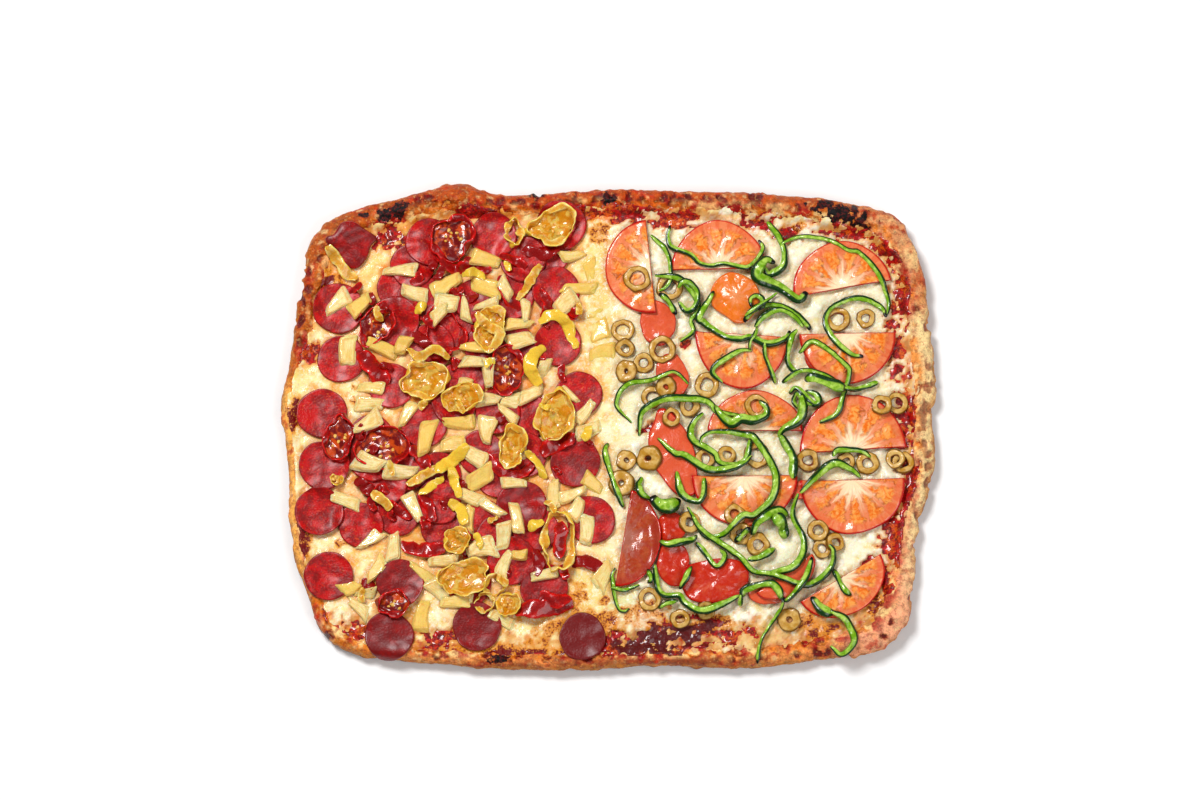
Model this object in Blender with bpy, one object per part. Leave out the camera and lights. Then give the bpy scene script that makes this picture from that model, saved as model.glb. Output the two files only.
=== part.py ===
"""A rectangular pan pizza with a raised crust: one half carries pepperoni, pineapple, yellow
peppers and red chilli, the other tomato, green pepper and olives.

Units are metres, with +Z up. The origin lies under the middle of the pizza, on the surface that
it rests on. +X runs along the long side and +Y points at the edge that is at the top of the
photograph.
"""
import math

import bmesh
import bpy
import numpy as np
from mathutils import Vector, noise

# Main sizes
PIZZA_LENGTH = 0.460
PIZZA_WIDTH = 0.345
DOUGH_THICKNESS = 0.009
CHEESE_TOP = 0.0132
CHEESE_EDGE_TOP = 0.0120
CHEESE_SETTLE = 0.006
CHEESE_WAVE = 0.0007
CHEESE_BUMP = 0.05
OUTLINE_BUMP = 0.9
SEED = 0.37
GAP = 0.0003
SIDE_GAP = 0.0005
STATION_STEP = 0.0125

# Toppings
PEPPERONI_RADIUS = 0.0172
PEPPERONI_THICKNESS = 0.0020
PEPPERONI_CURL = 0.0016
TOMATO_THICKNESS = 0.0042
GREEN_WIDTH = 0.0042
GREEN_HEIGHT = 0.0034
YELLOW_WIDTH = 0.0034
YELLOW_HEIGHT = 0.0046
CHILLI_WIDTH = 0.0036
CHILLI_HEIGHT = 0.0040
PINEAPPLE_HEIGHT = 0.0050
OLIVE_RADIUS = 0.0084
OLIVE_WALL = 0.0040
OLIVE_HEIGHT = 0.0042
SINK = 0.0010
SLICE_SIDES = 15
SLICE_RINGS = (1.0, 0.6)
RING_STEP = 0.0075
STRIP_STEP = 0.0068
OLIVE_SIDES = 9
RING_SIDES = 24
RING_UNEVEN = 0.10
SLICE_UNEVEN = 0.05
TOMATO_UNEVEN = 0.15
CUT_SIDE_STEPS = 4
TIDBIT_TAPER = 0.72
TIDBIT_SKEW = 0.93

# The photograph: its frame is 1200 by 800 pixels and it looks down at 78 degrees
PHOTO_MIDDLE = (609.5, 427.2)
PIXEL = 0.0007
PIXEL_UP = PIXEL / math.sin(math.radians(78.0))
MM = 0.001

# The map of heights that the toppings are laid on
CELL = 0.001
MAP_HALF = (0.240, 0.182)
CURVE_STEPS = 12
CLEAR_CELLS = 2

# Outer edge, clockwise from the upper left: photo x, photo y, rim width and rim height in mm
EDGE = (
    (303, 262, 20, 18), (311, 238, 22, 19), (330, 219, 22, 20), (362, 205, 21, 20),
    (405, 195, 20, 20), (455, 184, 22, 22), (482, 190, 20, 21), (520, 194, 18, 20),
    (600, 189, 18, 20), (690, 191, 18, 20), (770, 194, 18, 20), (830, 199, 20, 20),
    (893, 214, 23, 21), (914, 240, 23, 21), (930, 285, 20, 19), (929, 312, 18, 17),
    (938, 385, 17, 17), (932, 415, 16, 16), (935, 450, 16, 17), (933, 485, 16, 16),
    (920, 525, 17, 16), (913, 590, 20, 18), (906, 622, 24, 20), (880, 653, 24, 19),
    (820, 662, 18, 16), (775, 668, 16, 15), (700, 669, 14, 15), (640, 668, 13, 15),
    (560, 671, 12, 15), (480, 669, 12, 15), (380, 660, 11, 14), (352, 654, 12, 14),
    (323, 636, 12, 14), (312, 608, 11, 14), (294, 550, 10, 14), (288, 460, 9, 14),
    (281, 420, 10, 14), (282, 395, 10, 15), (291, 350, 12, 15), (296, 310, 15, 16),
)

# Crust section, from the underside round the rim to the foot of its inner slope: the share of
# the rim's width inward, and the share of its height
RIM_SECTION = ((0.24, 0.0), (0.06, 0.17), (0.0, 0.44), (0.07, 0.74), (0.28, 0.95), (0.55, 1.0))
SLOPE_TOP = 0.82
SLOPE_TOP_RISE = 0.62
CHEESE_RINGS = (0.84, 0.62, 0.36)

# Pepperoni slices in the order they were laid: photo x, photo y, width in pixels
PEPPERONI_SPOTS = (
    (338, 311, 51), (342, 362, 48), (323, 416, 50), (325, 468, 50), (321, 514, 49), (331, 578, 49),
    (391, 637, 49), (479, 628, 49), (584, 638, 47), (430, 246, 48), (494, 238, 46), (562, 228, 50),
    (557, 293, 48), (559, 346, 47), (580, 397, 47), (576, 465, 50), (592, 522, 48), (523, 508, 48),
    (402, 585, 48), (545, 592, 46), (395, 324, 47),
)
FOLDED_SLICE = ((327, 238), (350, 226), (376, 237), (369, 262), (346, 271), (331, 258))

# Tomato half slices: the two ends of the cut side, then how far the round side stands out to the
# left of the way from the first end to the second, all in photo pixels
TOMATO_HALVES = (
    (647, 222, 657, 317, -46), (768, 271, 672, 273, -50), (893, 283, 795, 300, -48),
    (696, 334, 790, 340, -55), (800, 337, 897, 335, -52), (907, 450, 800, 457, -55),
    (712, 397, 797, 396, -34), (692, 479, 798, 478, -50), (800, 484, 905, 481, -55),
    (616, 588, 632, 493, -36), (880, 556, 800, 604, 38),
)
TOMATO_PIECES = ((658, 326, 36, 46, 0), (674, 457, 42, 74, 20), (716, 583, 68, 44, 4))

# Green pepper strips, each along its middle in photo pixels
GREEN_LINES = (
    ((783, 246), (800, 239), (828, 242), (850, 253), (872, 265), (885, 288), (890, 312)),
    ((882, 310), (860, 301), (835, 309), (826, 325), (836, 345), (852, 358), (864, 361)),
    ((715, 295), (703, 315), (705, 326), (725, 340), (752, 341), (778, 346), (791, 334)),
    ((671, 228), (669, 240), (683, 254), (700, 266), (725, 267), (750, 270), (762, 257)),
    ((798, 333), (789, 352), (793, 372), (803, 374), (828, 382), (843, 392), (843, 408), (820, 425)),
    ((795, 402), (801, 422), (783, 434), (782, 445), (795, 465), (791, 484)),
    ((640, 438), (643, 415), (665, 403), (700, 403), (718, 415), (740, 422), (766, 420)),
    ((775, 473), (773, 500), (755, 518), (735, 528), (715, 539), (697, 530), (688, 508)),
    ((838, 467), (820, 477), (800, 497), (793, 517), (803, 540), (803, 556), (785, 573)),
    ((745, 592), (768, 587), (781, 602), (775, 617), (762, 640), (757, 662)),
    ((810, 600), (825, 612), (845, 622), (853, 640), (841, 655), (830, 648)),
)

# Yellow pepper and red chilli rings: photo x, photo y, length, breadth in pixels, turn in degrees
YELLOW_RINGS = (
    (552, 229, 46, 32, 15), (425, 385, 42, 33, 0), (557, 420, 48, 34, 80), (558, 543, 54, 28, 85),
    (514, 450, 38, 25, 90), (465, 580, 45, 32, 10),
)
CHILLI_RINGS = (
    (455, 240, 38, 34, 60), (443, 335, 46, 34, 100), (340, 440, 42, 27, 80), (386, 452, 44, 40, 0),
    (508, 374, 44, 32, 90),
)

# Pineapple tidbits: photo x, photo y, length, breadth in pixels, turn in degrees
TIDBITS = (
    (400, 273, 32, 14, 5), (415, 297, 25, 14, -20), (447, 288, 32, 18, 30), (486, 262, 28, 16, -15),
    (486, 290, 30, 16, -20), (487, 308, 24, 12, 10), (466, 312, 24, 12, 90), (526, 315, 26, 12, 90),
    (519, 327, 26, 13, 5), (521, 343, 26, 16, 20), (573, 258, 24, 12, 15), (592, 275, 28, 15, 100),
    (566, 306, 25, 18, 40), (602, 355, 26, 20, 10), (348, 353, 28, 16, 90), (360, 308, 24, 16, 45),
    (383, 351, 30, 12, -25), (403, 348, 18, 14, 60), (371, 390, 26, 12, 0), (369, 427, 28, 18, 30),
    (408, 417, 26, 14, 60), (427, 441, 34, 16, 75), (478, 366, 30, 12, -10), (489, 377, 26, 12, 90),
    (490, 403, 24, 14, 0), (512, 404, 18, 16, 0), (532, 397, 24, 12, 25), (509, 418, 24, 12, -40),
    (570, 398, 22, 12, -35), (590, 433, 26, 14, 20), (487, 433, 26, 20, 80), (460, 426, 30, 14, 0),
    (454, 447, 24, 18, 0), (476, 460, 26, 16, -30), (481, 481, 28, 16, 30), (523, 450, 24, 10, 90),
    (554, 497, 27, 12, 90), (574, 497, 27, 12, 20), (594, 486, 22, 14, -40), (588, 532, 27, 14, 90),
    (518, 521, 30, 11, -80), (493, 511, 26, 10, -35), (471, 500, 24, 12, -25), (469, 521, 24, 14, 75),
    (482, 550, 28, 22, 0), (505, 539, 25, 14, 90), (505, 566, 27, 14, 70), (395, 549, 27, 13, 90),
    (372, 543, 26, 12, 40), (347, 503, 28, 12, -20), (378, 571, 26, 14, 55), (361, 609, 24, 14, -35),
    (426, 577, 34, 14, -40), (440, 592, 24, 16, -50), (423, 617, 29, 15, 85), (503, 620, 25, 12, -30),
    (546, 577, 26, 10, 10), (605, 577, 26, 18, 60), (402, 476, 32, 16, 0), (370, 468, 28, 18, -20),
)

# Olive rings: photo x, photo y
OLIVES = (
    (624, 333), (627, 374), (663, 353), (671, 290), (708, 388), (627, 463), (650, 461), (757, 458),
    (839, 322), (882, 408), (898, 406), (903, 465), (822, 551), (818, 533), (680, 620), (789, 621),
    (650, 601), (690, 409), (742, 536), (868, 466),
)

CRUST_COLOUR = (0.52, 0.22, 0.08)
CHEESE_COLOUR = (0.86, 0.68, 0.36)
PEPPERONI_COLOUR = (0.38, 0.04, 0.03)
TOMATO_COLOUR = (0.85, 0.22, 0.08)
GREEN_COLOUR = (0.16, 0.30, 0.04)
YELLOW_COLOUR = (0.72, 0.40, 0.03)
CHILLI_COLOUR = (0.42, 0.03, 0.01)


def spot(photo_x, photo_y):
    """Place on the pizza of a photo pixel, as x and y in metres."""
    return np.array(((photo_x - PHOTO_MIDDLE[0]) * PIXEL, (PHOTO_MIDDLE[1] - photo_y) * PIXEL_UP))


def smooth_curve(points, step, closed):
    """Evenly spaced points on a Catmull-Rom curve through the given ones, with all their columns."""
    points = np.asarray(points, dtype=float)
    if closed:
        padded = np.vstack((points[-1:], points, points[:2]))
    else:
        padded = np.vstack((2 * points[0] - points[1], points, 2 * points[-1] - points[-2]))
    t = np.linspace(0.0, 1.0, CURVE_STEPS, endpoint=False)[:, None]
    spans = []
    for first in range(len(padded) - 3):
        a, b, c, d = padded[first:first + 4]
        bend = (2 * a - 5 * b + 4 * c - d) * t ** 2 + (3 * b - a - 3 * c + d) * t ** 3
        spans.append(0.5 * (2 * b + (c - a) * t + bend))
    dense = np.vstack(spans + [points[:1] if closed else points[-1:]])
    along = np.concatenate(((0.0,), np.cumsum(np.linalg.norm(np.diff(dense[:, :2], axis=0), axis=1))))
    where = np.linspace(0.0, along[-1], max(3, round(along[-1] / step)) + 1)
    if closed:
        where = where[:-1]
    return np.column_stack([np.interp(where, along, column) for column in dense.T])


def wave(x, y, size, seed):
    """Smooth unevenness between about -1 and 1, with bumps of the given size."""
    return noise.noise(Vector((x / size, y / size, seed)))


def material(name, colour, roughness):
    """A plain material of one colour."""
    made = bpy.data.materials.new(name)
    made.use_nodes = True
    shader = made.node_tree.nodes["Principled BSDF"]
    shader.inputs["Base Color"].default_value = (*colour, 1.0)
    shader.inputs["Roughness"].default_value = roughness
    return made


def add_object(name, vertices, faces, finish):
    """An object with triangulated faces that all point outwards."""
    mesh = bpy.data.meshes.new(name)
    mesh.from_pydata([tuple(map(float, vertex)) for vertex in vertices], [], faces)
    work = bmesh.new()
    work.from_mesh(mesh)
    bmesh.ops.triangulate(work, faces=work.faces)
    bmesh.ops.recalc_face_normals(work, faces=work.faces)
    work.to_mesh(mesh)
    work.free()
    mesh.materials.append(finish)
    made = bpy.data.objects.new(name, mesh)
    bpy.context.scene.collection.objects.link(made)
    return made


class Relief:
    """The height and the owner of the top surface, in square cells, as the pizza is laid up."""

    def __init__(self):
        """An empty map over the whole pizza."""
        shape = tuple(round(2 * half / CELL) for half in MAP_HALF)
        self.top = np.zeros(shape)
        self.wide = np.zeros(shape)
        self.owner = np.zeros(shape, dtype=int)
        self.owners = [None]

    def cells_under(self, corners):
        """Cells inside a triangle in plan, as two index arrays and three corner weights."""
        places = (np.asarray(corners)[:, :2] + MAP_HALF) / CELL - 0.5
        low = np.maximum(np.floor(places.min(axis=0)).astype(int), 0)
        high = np.minimum(np.ceil(places.max(axis=0)).astype(int), np.array(self.top.shape) - 1)
        across, up = np.meshgrid(*(np.arange(low[k], high[k] + 1) for k in (0, 1)), indexing="ij")
        (ax, ay), (bx, by), (cx, cy) = places
        area = (bx - ax) * (cy - ay) - (cx - ax) * (by - ay)
        if abs(area) < 1e-9:
            return across[:0, 0], up[:0, 0], np.zeros((0, 3))
        second = ((across - ax) * (cy - ay) - (cx - ax) * (up - ay)) / area
        third = ((bx - ax) * (up - ay) - (across - ax) * (by - ay)) / area
        weights = np.stack((1 - second - third, second, third), axis=-1)
        slack = 0.8 * max(np.ptp(places[:, 0]), np.ptp(places[:, 1])) / abs(area)
        inside = (weights > -slack).all(axis=-1)
        return across[inside], up[inside], np.clip(weights[inside], 0.0, 1.0)

    def lay(self, made, owner):
        """Takes in the upper surface of an object, which the named owner then holds."""
        if owner not in self.owners:
            self.owners.append(owner)
        number = self.owners.index(owner)
        for face in made.data.polygons:
            corners = np.array([made.data.vertices[index].co for index in face.vertices])
            across, up, weights = self.cells_under(corners)
            height = weights @ corners[:, 2] / np.maximum(weights.sum(axis=1), 1e-9)
            raised = height > self.top[across, up]
            self.top[across[raised], up[raised]] = height[raised]
            self.owner[across[raised], up[raised]] = number
        padded = np.pad(self.top, 1)
        shifted = [padded[i:i + self.top.shape[0], j:j + self.top.shape[1]]
                   for i in range(3) for j in range(3)]
        self.wide = np.max(shifted, axis=0)

    def drape(self, plan, faces):
        """Height that each plan point needs for its faces to clear all that lies below."""
        bed = np.zeros(len(plan))
        for face in faces:
            for k in range(1, len(face) - 1):
                across, up, _ = self.cells_under(plan[[face[0], face[k], face[k + 1]]])
                if len(across):
                    bed[list(face)] = np.maximum(bed[list(face)], self.wide[across, up].max())
        return bed

    def carrier(self, plan):
        """Owner of every cell under a small piece, or None where they differ."""
        found = set()
        for k in range(1, len(plan) - 1):
            across, up, _ = self.cells_under(plan[[0, k, k + 1]])
            for i in (-CLEAR_CELLS, 0, CLEAR_CELLS):
                for j in (-CLEAR_CELLS, 0, CLEAR_CELLS):
                    found |= set(self.owner[across + i, up + j].tolist())
        return self.owners[found.pop()] if len(found) == 1 else None

    def height(self, place):
        """Height of the top surface at a point in plan."""
        across, up = ((np.asarray(place) + MAP_HALF) / CELL).astype(int)
        return self.top[across, up]


def disc_plan(outline):
    """Plan points and faces that fill an outline with rings round its middle."""
    outline = np.asarray(outline)
    middle = outline.mean(axis=0)
    count = len(outline)
    plan = np.vstack([middle + (outline - middle) * share for share in SLICE_RINGS] + [middle[None]])
    faces = []
    for i in range(count):
        j = (i + 1) % count
        faces.append((i, j, count + j, count + i))
        faces.append((count + i, count + j, 2 * count))
    return plan, faces


def strip_plan(line, width, closed):
    """Plan points and faces of a strip of even width along a line."""
    line = np.asarray(line)
    if closed:
        ahead = np.roll(line, -1, axis=0) - np.roll(line, 1, axis=0)
    else:
        ahead = np.gradient(line, axis=0)
    side = np.column_stack((-ahead[:, 1], ahead[:, 0]))
    side *= 0.5 * width / np.linalg.norm(side, axis=1)[:, None]
    count = len(line)
    plan = np.vstack((line + side, line - side))
    spans = count if closed else count - 1
    faces = [(count + i, count + (i + 1) % count, (i + 1) % count, i) for i in range(spans)]
    return plan, faces


def slab(name, plan, faces, low, high, finish):
    """A closed slab between a lower and an upper height at each plan point."""
    count = len(plan)
    vertices = [(*place, z) for place, z in zip(plan, low)] + [(*place, z) for place, z in zip(plan, high)]
    edges = {(face[k], face[(k + 1) % len(face)]) for face in faces for k in range(len(face))}
    sides = [(a, b, count + b, count + a) for a, b in sorted(edges) if (b, a) not in edges]
    upper = [tuple(count + index for index in face) for face in faces]
    lower = [tuple(reversed(face)) for face in faces]
    return add_object(name, vertices, lower + upper + sides, finish)


def soft_piece(relief, name, plan, faces, thickness, finish, curl=None):
    """A node that drapes over what is already there, and is then part of the relief."""
    low = relief.drape(plan, faces) + GAP
    if curl is not None:
        low = low + curl
    made = slab(name, plan, faces, low, low + thickness, finish)
    relief.lay(made, name)
    return made


def fused_piece(relief, fused, plan, faces, height, finish):
    """A small piece sunk into the one thing that carries it, or nothing where several would."""
    carrier = relief.carrier(plan)
    if carrier in (None, "crust"):
        return
    bed = np.array([relief.height(place) for place in plan])
    level = np.full(len(plan), bed.max() + height)
    made = slab(f"small_{sum(map(len, fused.values())):03d}", plan, faces, bed - SINK, level, finish)
    relief.lay(made, carrier)
    fused.setdefault(carrier, []).append(made)


def join_small_pieces(fused):
    """Joins the small pieces to their carriers, one Boolean union on a collection for each."""
    for carrier_name, pieces in fused.items():
        carrier = bpy.data.objects[carrier_name]
        group = bpy.data.collections.new("on_" + carrier_name)
        for piece in pieces:
            group.objects.link(piece)
        union = carrier.modifiers.new("small pieces", "BOOLEAN")
        union.operation = "UNION"
        union.operand_type = "COLLECTION"
        union.collection = group
        union.solver = "EXACT"
        evaluated = carrier.evaluated_get(bpy.context.evaluated_depsgraph_get())
        joined = bpy.data.meshes.new_from_object(evaluated)
        carrier.modifiers.clear()
        carrier.data = joined
        for piece in pieces:
            bpy.data.objects.remove(piece)
        bpy.data.collections.remove(group)


def ring_solid(name, rings, finish, peak=None):
    """A closed solid from rings of points, capped flat below and flat or with a peak above."""
    count = len(rings[0])
    vertices = [vertex for ring in rings for vertex in ring]
    faces = [tuple(reversed(range(count)))]
    for level in range(len(rings) - 1):
        for i in range(count):
            j = (i + 1) % count
            low, high = level * count, (level + 1) * count
            faces.append((low + i, low + j, high + j, high + i))
    last = (len(rings) - 1) * count
    if peak is None:
        faces.append(tuple(last + i for i in range(count)))
    else:
        vertices.append(peak)
        faces += [(last + i, last + (i + 1) % count, len(vertices) - 1) for i in range(count)]
    return add_object(name, vertices, faces, finish)


def edge_stations():
    """Outer edge at even steps, counter-clockwise: place, inward way, rim width and rim height."""
    read = np.array([(*spot(x, y), width * MM, height * MM) for x, y, width, height in reversed(EDGE)])
    edge = smooth_curve(read, STATION_STEP, closed=True)
    for column, size in ((0, PIZZA_LENGTH), (1, PIZZA_WIDTH)):
        span = np.ptp(edge[:, column])
        middle = edge[:, column].min() + span / 2
        edge[:, column] = (edge[:, column] - middle) * size / span
    ahead = np.roll(edge[:, :2], -1, axis=0) - np.roll(edge[:, :2], 1, axis=0)
    inward = np.column_stack((-ahead[:, 1], ahead[:, 0]))
    inward /= np.linalg.norm(inward, axis=1)[:, None]
    return edge[:, :2], inward, edge[:, 2], edge[:, 3]


def at_inset(place, inward, inset, height):
    """Ring of points a given way in from the outer edge, at a given height."""
    return np.column_stack((place + inward * inset[:, None], height))


def make_crust(finish):
    """Dough with its raised rim round a flat floor."""
    place, inward, width, height = edge_stations()
    rings = [at_inset(place, inward, width * share, height * rise) for share, rise in RIM_SECTION]
    slope_top = DOUGH_THICKNESS + SLOPE_TOP_RISE * (height - DOUGH_THICKNESS)
    rings.append(at_inset(place, inward, width * SLOPE_TOP, slope_top))
    rings.append(at_inset(place, inward, width, np.full(len(width), DOUGH_THICKNESS)))
    return ring_solid("crust", rings, finish)


def make_cheese(finish):
    """Layer of melted cheese that fills the crust up to its inner slope."""
    place, inward, width, height = edge_stations()
    slope_top = DOUGH_THICKNESS + SLOPE_TOP_RISE * (height - DOUGH_THICKNESS)
    edge_top = np.minimum(CHEESE_EDGE_TOP, slope_top - GAP)
    climbed = (edge_top - DOUGH_THICKNESS) / (slope_top - DOUGH_THICKNESS)
    level = np.full(len(width), DOUGH_THICKNESS + GAP)
    foot = at_inset(place, inward, width + SIDE_GAP, level)
    edge = at_inset(place, inward, width * (1 - (1 - SLOPE_TOP) * climbed) + SIDE_GAP, edge_top)
    rings = [foot, edge]
    settled = at_inset(place, inward, width + CHEESE_SETTLE, level)
    for share in (1.0,) + CHEESE_RINGS:
        ring = settled * (share, share, 1.0)
        ring[:, 2] = [CHEESE_TOP + CHEESE_WAVE * wave(x, y, CHEESE_BUMP, SEED) for x, y, _ in ring]
        rings.append(ring)
    return ring_solid("cheese", rings, finish, peak=(0.0, 0.0, CHEESE_TOP))


def round_outline(photo_x, photo_y, length, breadth, turn, sides, uneven=0.0):
    """Oval outline from its middle, size and turn in the photo, a little uneven if asked."""
    middle = spot(photo_x, photo_y)
    turn = math.radians(turn)
    points = []
    for i in range(sides):
        angle = 2 * math.pi * i / sides
        swell = 1 + uneven * wave(math.cos(angle), math.sin(angle), OUTLINE_BUMP, photo_x * SEED)
        x = 0.5 * length * PIXEL * swell * math.cos(angle)
        y = 0.5 * breadth * PIXEL * swell * math.sin(angle)
        points.append(middle + (x * math.cos(turn) - y * math.sin(turn),
                                x * math.sin(turn) + y * math.cos(turn)))
    return np.array(points)


def half_outline(start_x, start_y, end_x, end_y, bulge):
    """Outline of a half slice: its straight cut side, then the round side."""
    start, end = spot(start_x, start_y), spot(end_x, end_y)
    middle, half = (start + end) / 2, (end - start) / 2
    out = np.array((-half[1], half[0])) / np.linalg.norm(half) * bulge * PIXEL
    points = [start + (end - start) * i / CUT_SIDE_STEPS for i in range(CUT_SIDE_STEPS)]
    arc_steps = SLICE_SIDES - CUT_SIDE_STEPS
    for i in range(arc_steps):
        angle = math.pi * i / arc_steps
        points.append(middle + half * math.cos(angle) + out * math.sin(angle))
    return np.array(points) if bulge < 0 else np.array(points[::-1])


def block_plan(photo_x, photo_y, length, breadth, turn):
    """Plan of a wedge cut from a pineapple ring, narrower at one end."""
    middle = spot(photo_x, photo_y)
    turn = math.radians(turn)
    along = np.array((math.cos(turn), math.sin(turn))) * length * PIXEL / 2
    across = np.array((-math.sin(turn), math.cos(turn))) * breadth * PIXEL / 2
    plan = np.array((middle - along * TIDBIT_SKEW - across, middle + along - across * TIDBIT_TAPER,
                     middle + along * TIDBIT_SKEW + across * TIDBIT_TAPER, middle - along + across))
    return plan, [(0, 1, 2, 3)]


def lay_pepperoni(relief, finish):
    """Round slices, whose rims curl up a little, and one that folded into a kite."""
    for number, (x, y, width) in enumerate(PEPPERONI_SPOTS, start=1):
        size = width * PIXEL / (2 * PEPPERONI_RADIUS)
        outline = round_outline(x, y, width, width, 0, SLICE_SIDES, SLICE_UNEVEN)
        plan, faces = disc_plan(outline)
        away = np.linalg.norm(plan - plan[-1], axis=1) / (PEPPERONI_RADIUS * size)
        curl = PEPPERONI_CURL * np.clip(away, 0.0, 1.0) ** 3
        soft_piece(relief, f"pepperoni_{number:02d}", plan, faces, PEPPERONI_THICKNESS, finish, curl)
    outline = np.array([spot(x, y) for x, y in reversed(FOLDED_SLICE)])
    plan, faces = disc_plan(outline)
    name = f"pepperoni_{len(PEPPERONI_SPOTS) + 1:02d}"
    soft_piece(relief, name, plan, faces, 2 * PEPPERONI_THICKNESS, finish)


def lay_tomato(relief, finish):
    """Half slices with a straight cut side, and smaller oval pieces."""
    outlines = [round_outline(*piece, SLICE_SIDES, TOMATO_UNEVEN) for piece in TOMATO_PIECES]
    outlines += [half_outline(*half) for half in TOMATO_HALVES]
    for number, outline in enumerate(outlines, start=1):
        plan, faces = disc_plan(outline)
        soft_piece(relief, f"tomato_{number:02d}", plan, faces, TOMATO_THICKNESS, finish)


def lay_small_pieces(relief, finish):
    """Pineapple tidbits and olive rings, each sunk into the one thing that it lies on."""
    fused = {}
    for tidbit in TIDBITS:
        plan, faces = block_plan(*tidbit)
        fused_piece(relief, fused, plan, faces, PINEAPPLE_HEIGHT, finish)
    for x, y in OLIVES:
        width = (2 * OLIVE_RADIUS - OLIVE_WALL) / PIXEL
        middle_line = round_outline(x, y, width, width, 0, OLIVE_SIDES)
        plan, faces = strip_plan(middle_line, OLIVE_WALL, closed=True)
        fused_piece(relief, fused, plan, faces, OLIVE_HEIGHT, finish)
    return fused


def lay_rings(relief, kind, rings, width, height, finish):
    """Pepper rings, as closed strips that drape over what they lie on."""
    for number, (x, y, length, breadth, turn) in enumerate(rings, start=1):
        inner = width / PIXEL
        outline = round_outline(x, y, length - inner, breadth - inner, turn, RING_SIDES, RING_UNEVEN)
        line = smooth_curve(outline, RING_STEP, closed=True)
        plan, faces = strip_plan(line, width, closed=True)
        soft_piece(relief, f"{kind}_{number:02d}", plan, faces, height, finish)


def lay_green_strips(relief, finish):
    """Curling strips of green pepper, laid over everything else."""
    for number, line in enumerate(GREEN_LINES, start=1):
        middle_line = smooth_curve([spot(x, y) for x, y in line], STRIP_STEP, closed=False)
        plan, faces = strip_plan(middle_line, GREEN_WIDTH, closed=False)
        soft_piece(relief, f"green_pepper_{number:02d}", plan, faces, GREEN_HEIGHT, finish)


def build():
    """Lays the pizza up from the dough to the last strip of pepper."""
    for old in list(bpy.data.objects):
        bpy.data.objects.remove(old)
    relief = Relief()
    relief.lay(make_crust(material("baked dough", CRUST_COLOUR, 0.7)), "crust")
    cheese = material("melted cheese", CHEESE_COLOUR, 0.4)
    relief.lay(make_cheese(cheese), "cheese")
    lay_pepperoni(relief, material("pepperoni", PEPPERONI_COLOUR, 0.35))
    lay_tomato(relief, material("tomato", TOMATO_COLOUR, 0.25))
    fused = lay_small_pieces(relief, cheese)
    lay_rings(relief, "banana_pepper", YELLOW_RINGS, YELLOW_WIDTH, YELLOW_HEIGHT,
              material("yellow pepper", YELLOW_COLOUR, 0.3))
    lay_rings(relief, "chilli", CHILLI_RINGS, CHILLI_WIDTH, CHILLI_HEIGHT,
              material("red chilli", CHILLI_COLOUR, 0.3))
    lay_green_strips(relief, material("green pepper", GREEN_COLOUR, 0.3))
    join_small_pieces(fused)


build()
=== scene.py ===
"""Dresses a rectangular pan pizza: a baked crust, sauce and melted cheese, with pepperoni,
pineapple, yellow peppers and red chilli on one half, and tomato, green pepper and olives on the
other.

Units are metres, with +Z up. Places of toppings are read from the photograph in pixels of its
1200 by 800 frame, and PhotoFrame turns them into places on the pizza. Colours are the ones that
the eye sees, from 0 to 1, and tone() turns them into the shader's own scale.
"""
from __future__ import annotations

import logging
import math
from dataclasses import dataclass, field
from enum import Enum
from itertools import product
from typing import Any, Callable, Sequence, Union

import bmesh
import bpy
import numpy as np
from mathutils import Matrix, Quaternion, Vector

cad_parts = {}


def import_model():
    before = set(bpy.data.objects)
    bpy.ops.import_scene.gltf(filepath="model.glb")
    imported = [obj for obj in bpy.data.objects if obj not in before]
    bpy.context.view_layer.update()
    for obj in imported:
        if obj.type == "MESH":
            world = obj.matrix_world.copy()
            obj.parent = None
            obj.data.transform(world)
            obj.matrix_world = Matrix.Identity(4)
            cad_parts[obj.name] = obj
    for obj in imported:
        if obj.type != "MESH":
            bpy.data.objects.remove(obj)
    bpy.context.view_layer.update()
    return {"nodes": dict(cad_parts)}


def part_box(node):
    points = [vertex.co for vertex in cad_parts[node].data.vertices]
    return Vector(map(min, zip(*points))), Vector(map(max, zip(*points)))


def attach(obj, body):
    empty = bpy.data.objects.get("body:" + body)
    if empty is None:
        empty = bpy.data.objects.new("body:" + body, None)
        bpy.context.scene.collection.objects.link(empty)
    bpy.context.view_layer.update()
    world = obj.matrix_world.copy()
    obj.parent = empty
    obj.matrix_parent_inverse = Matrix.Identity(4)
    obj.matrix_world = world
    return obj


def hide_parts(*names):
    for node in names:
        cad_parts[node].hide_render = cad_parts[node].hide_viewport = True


LOG = logging.getLogger("pizza")
MM = 0.001
BODY = "root"
SHEEN = 0.05
Colour = tuple[float, float, float]
Value = Union["Wire", float, Colour]
Rows = np.ndarray
Piece = bpy.types.Object

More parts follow.
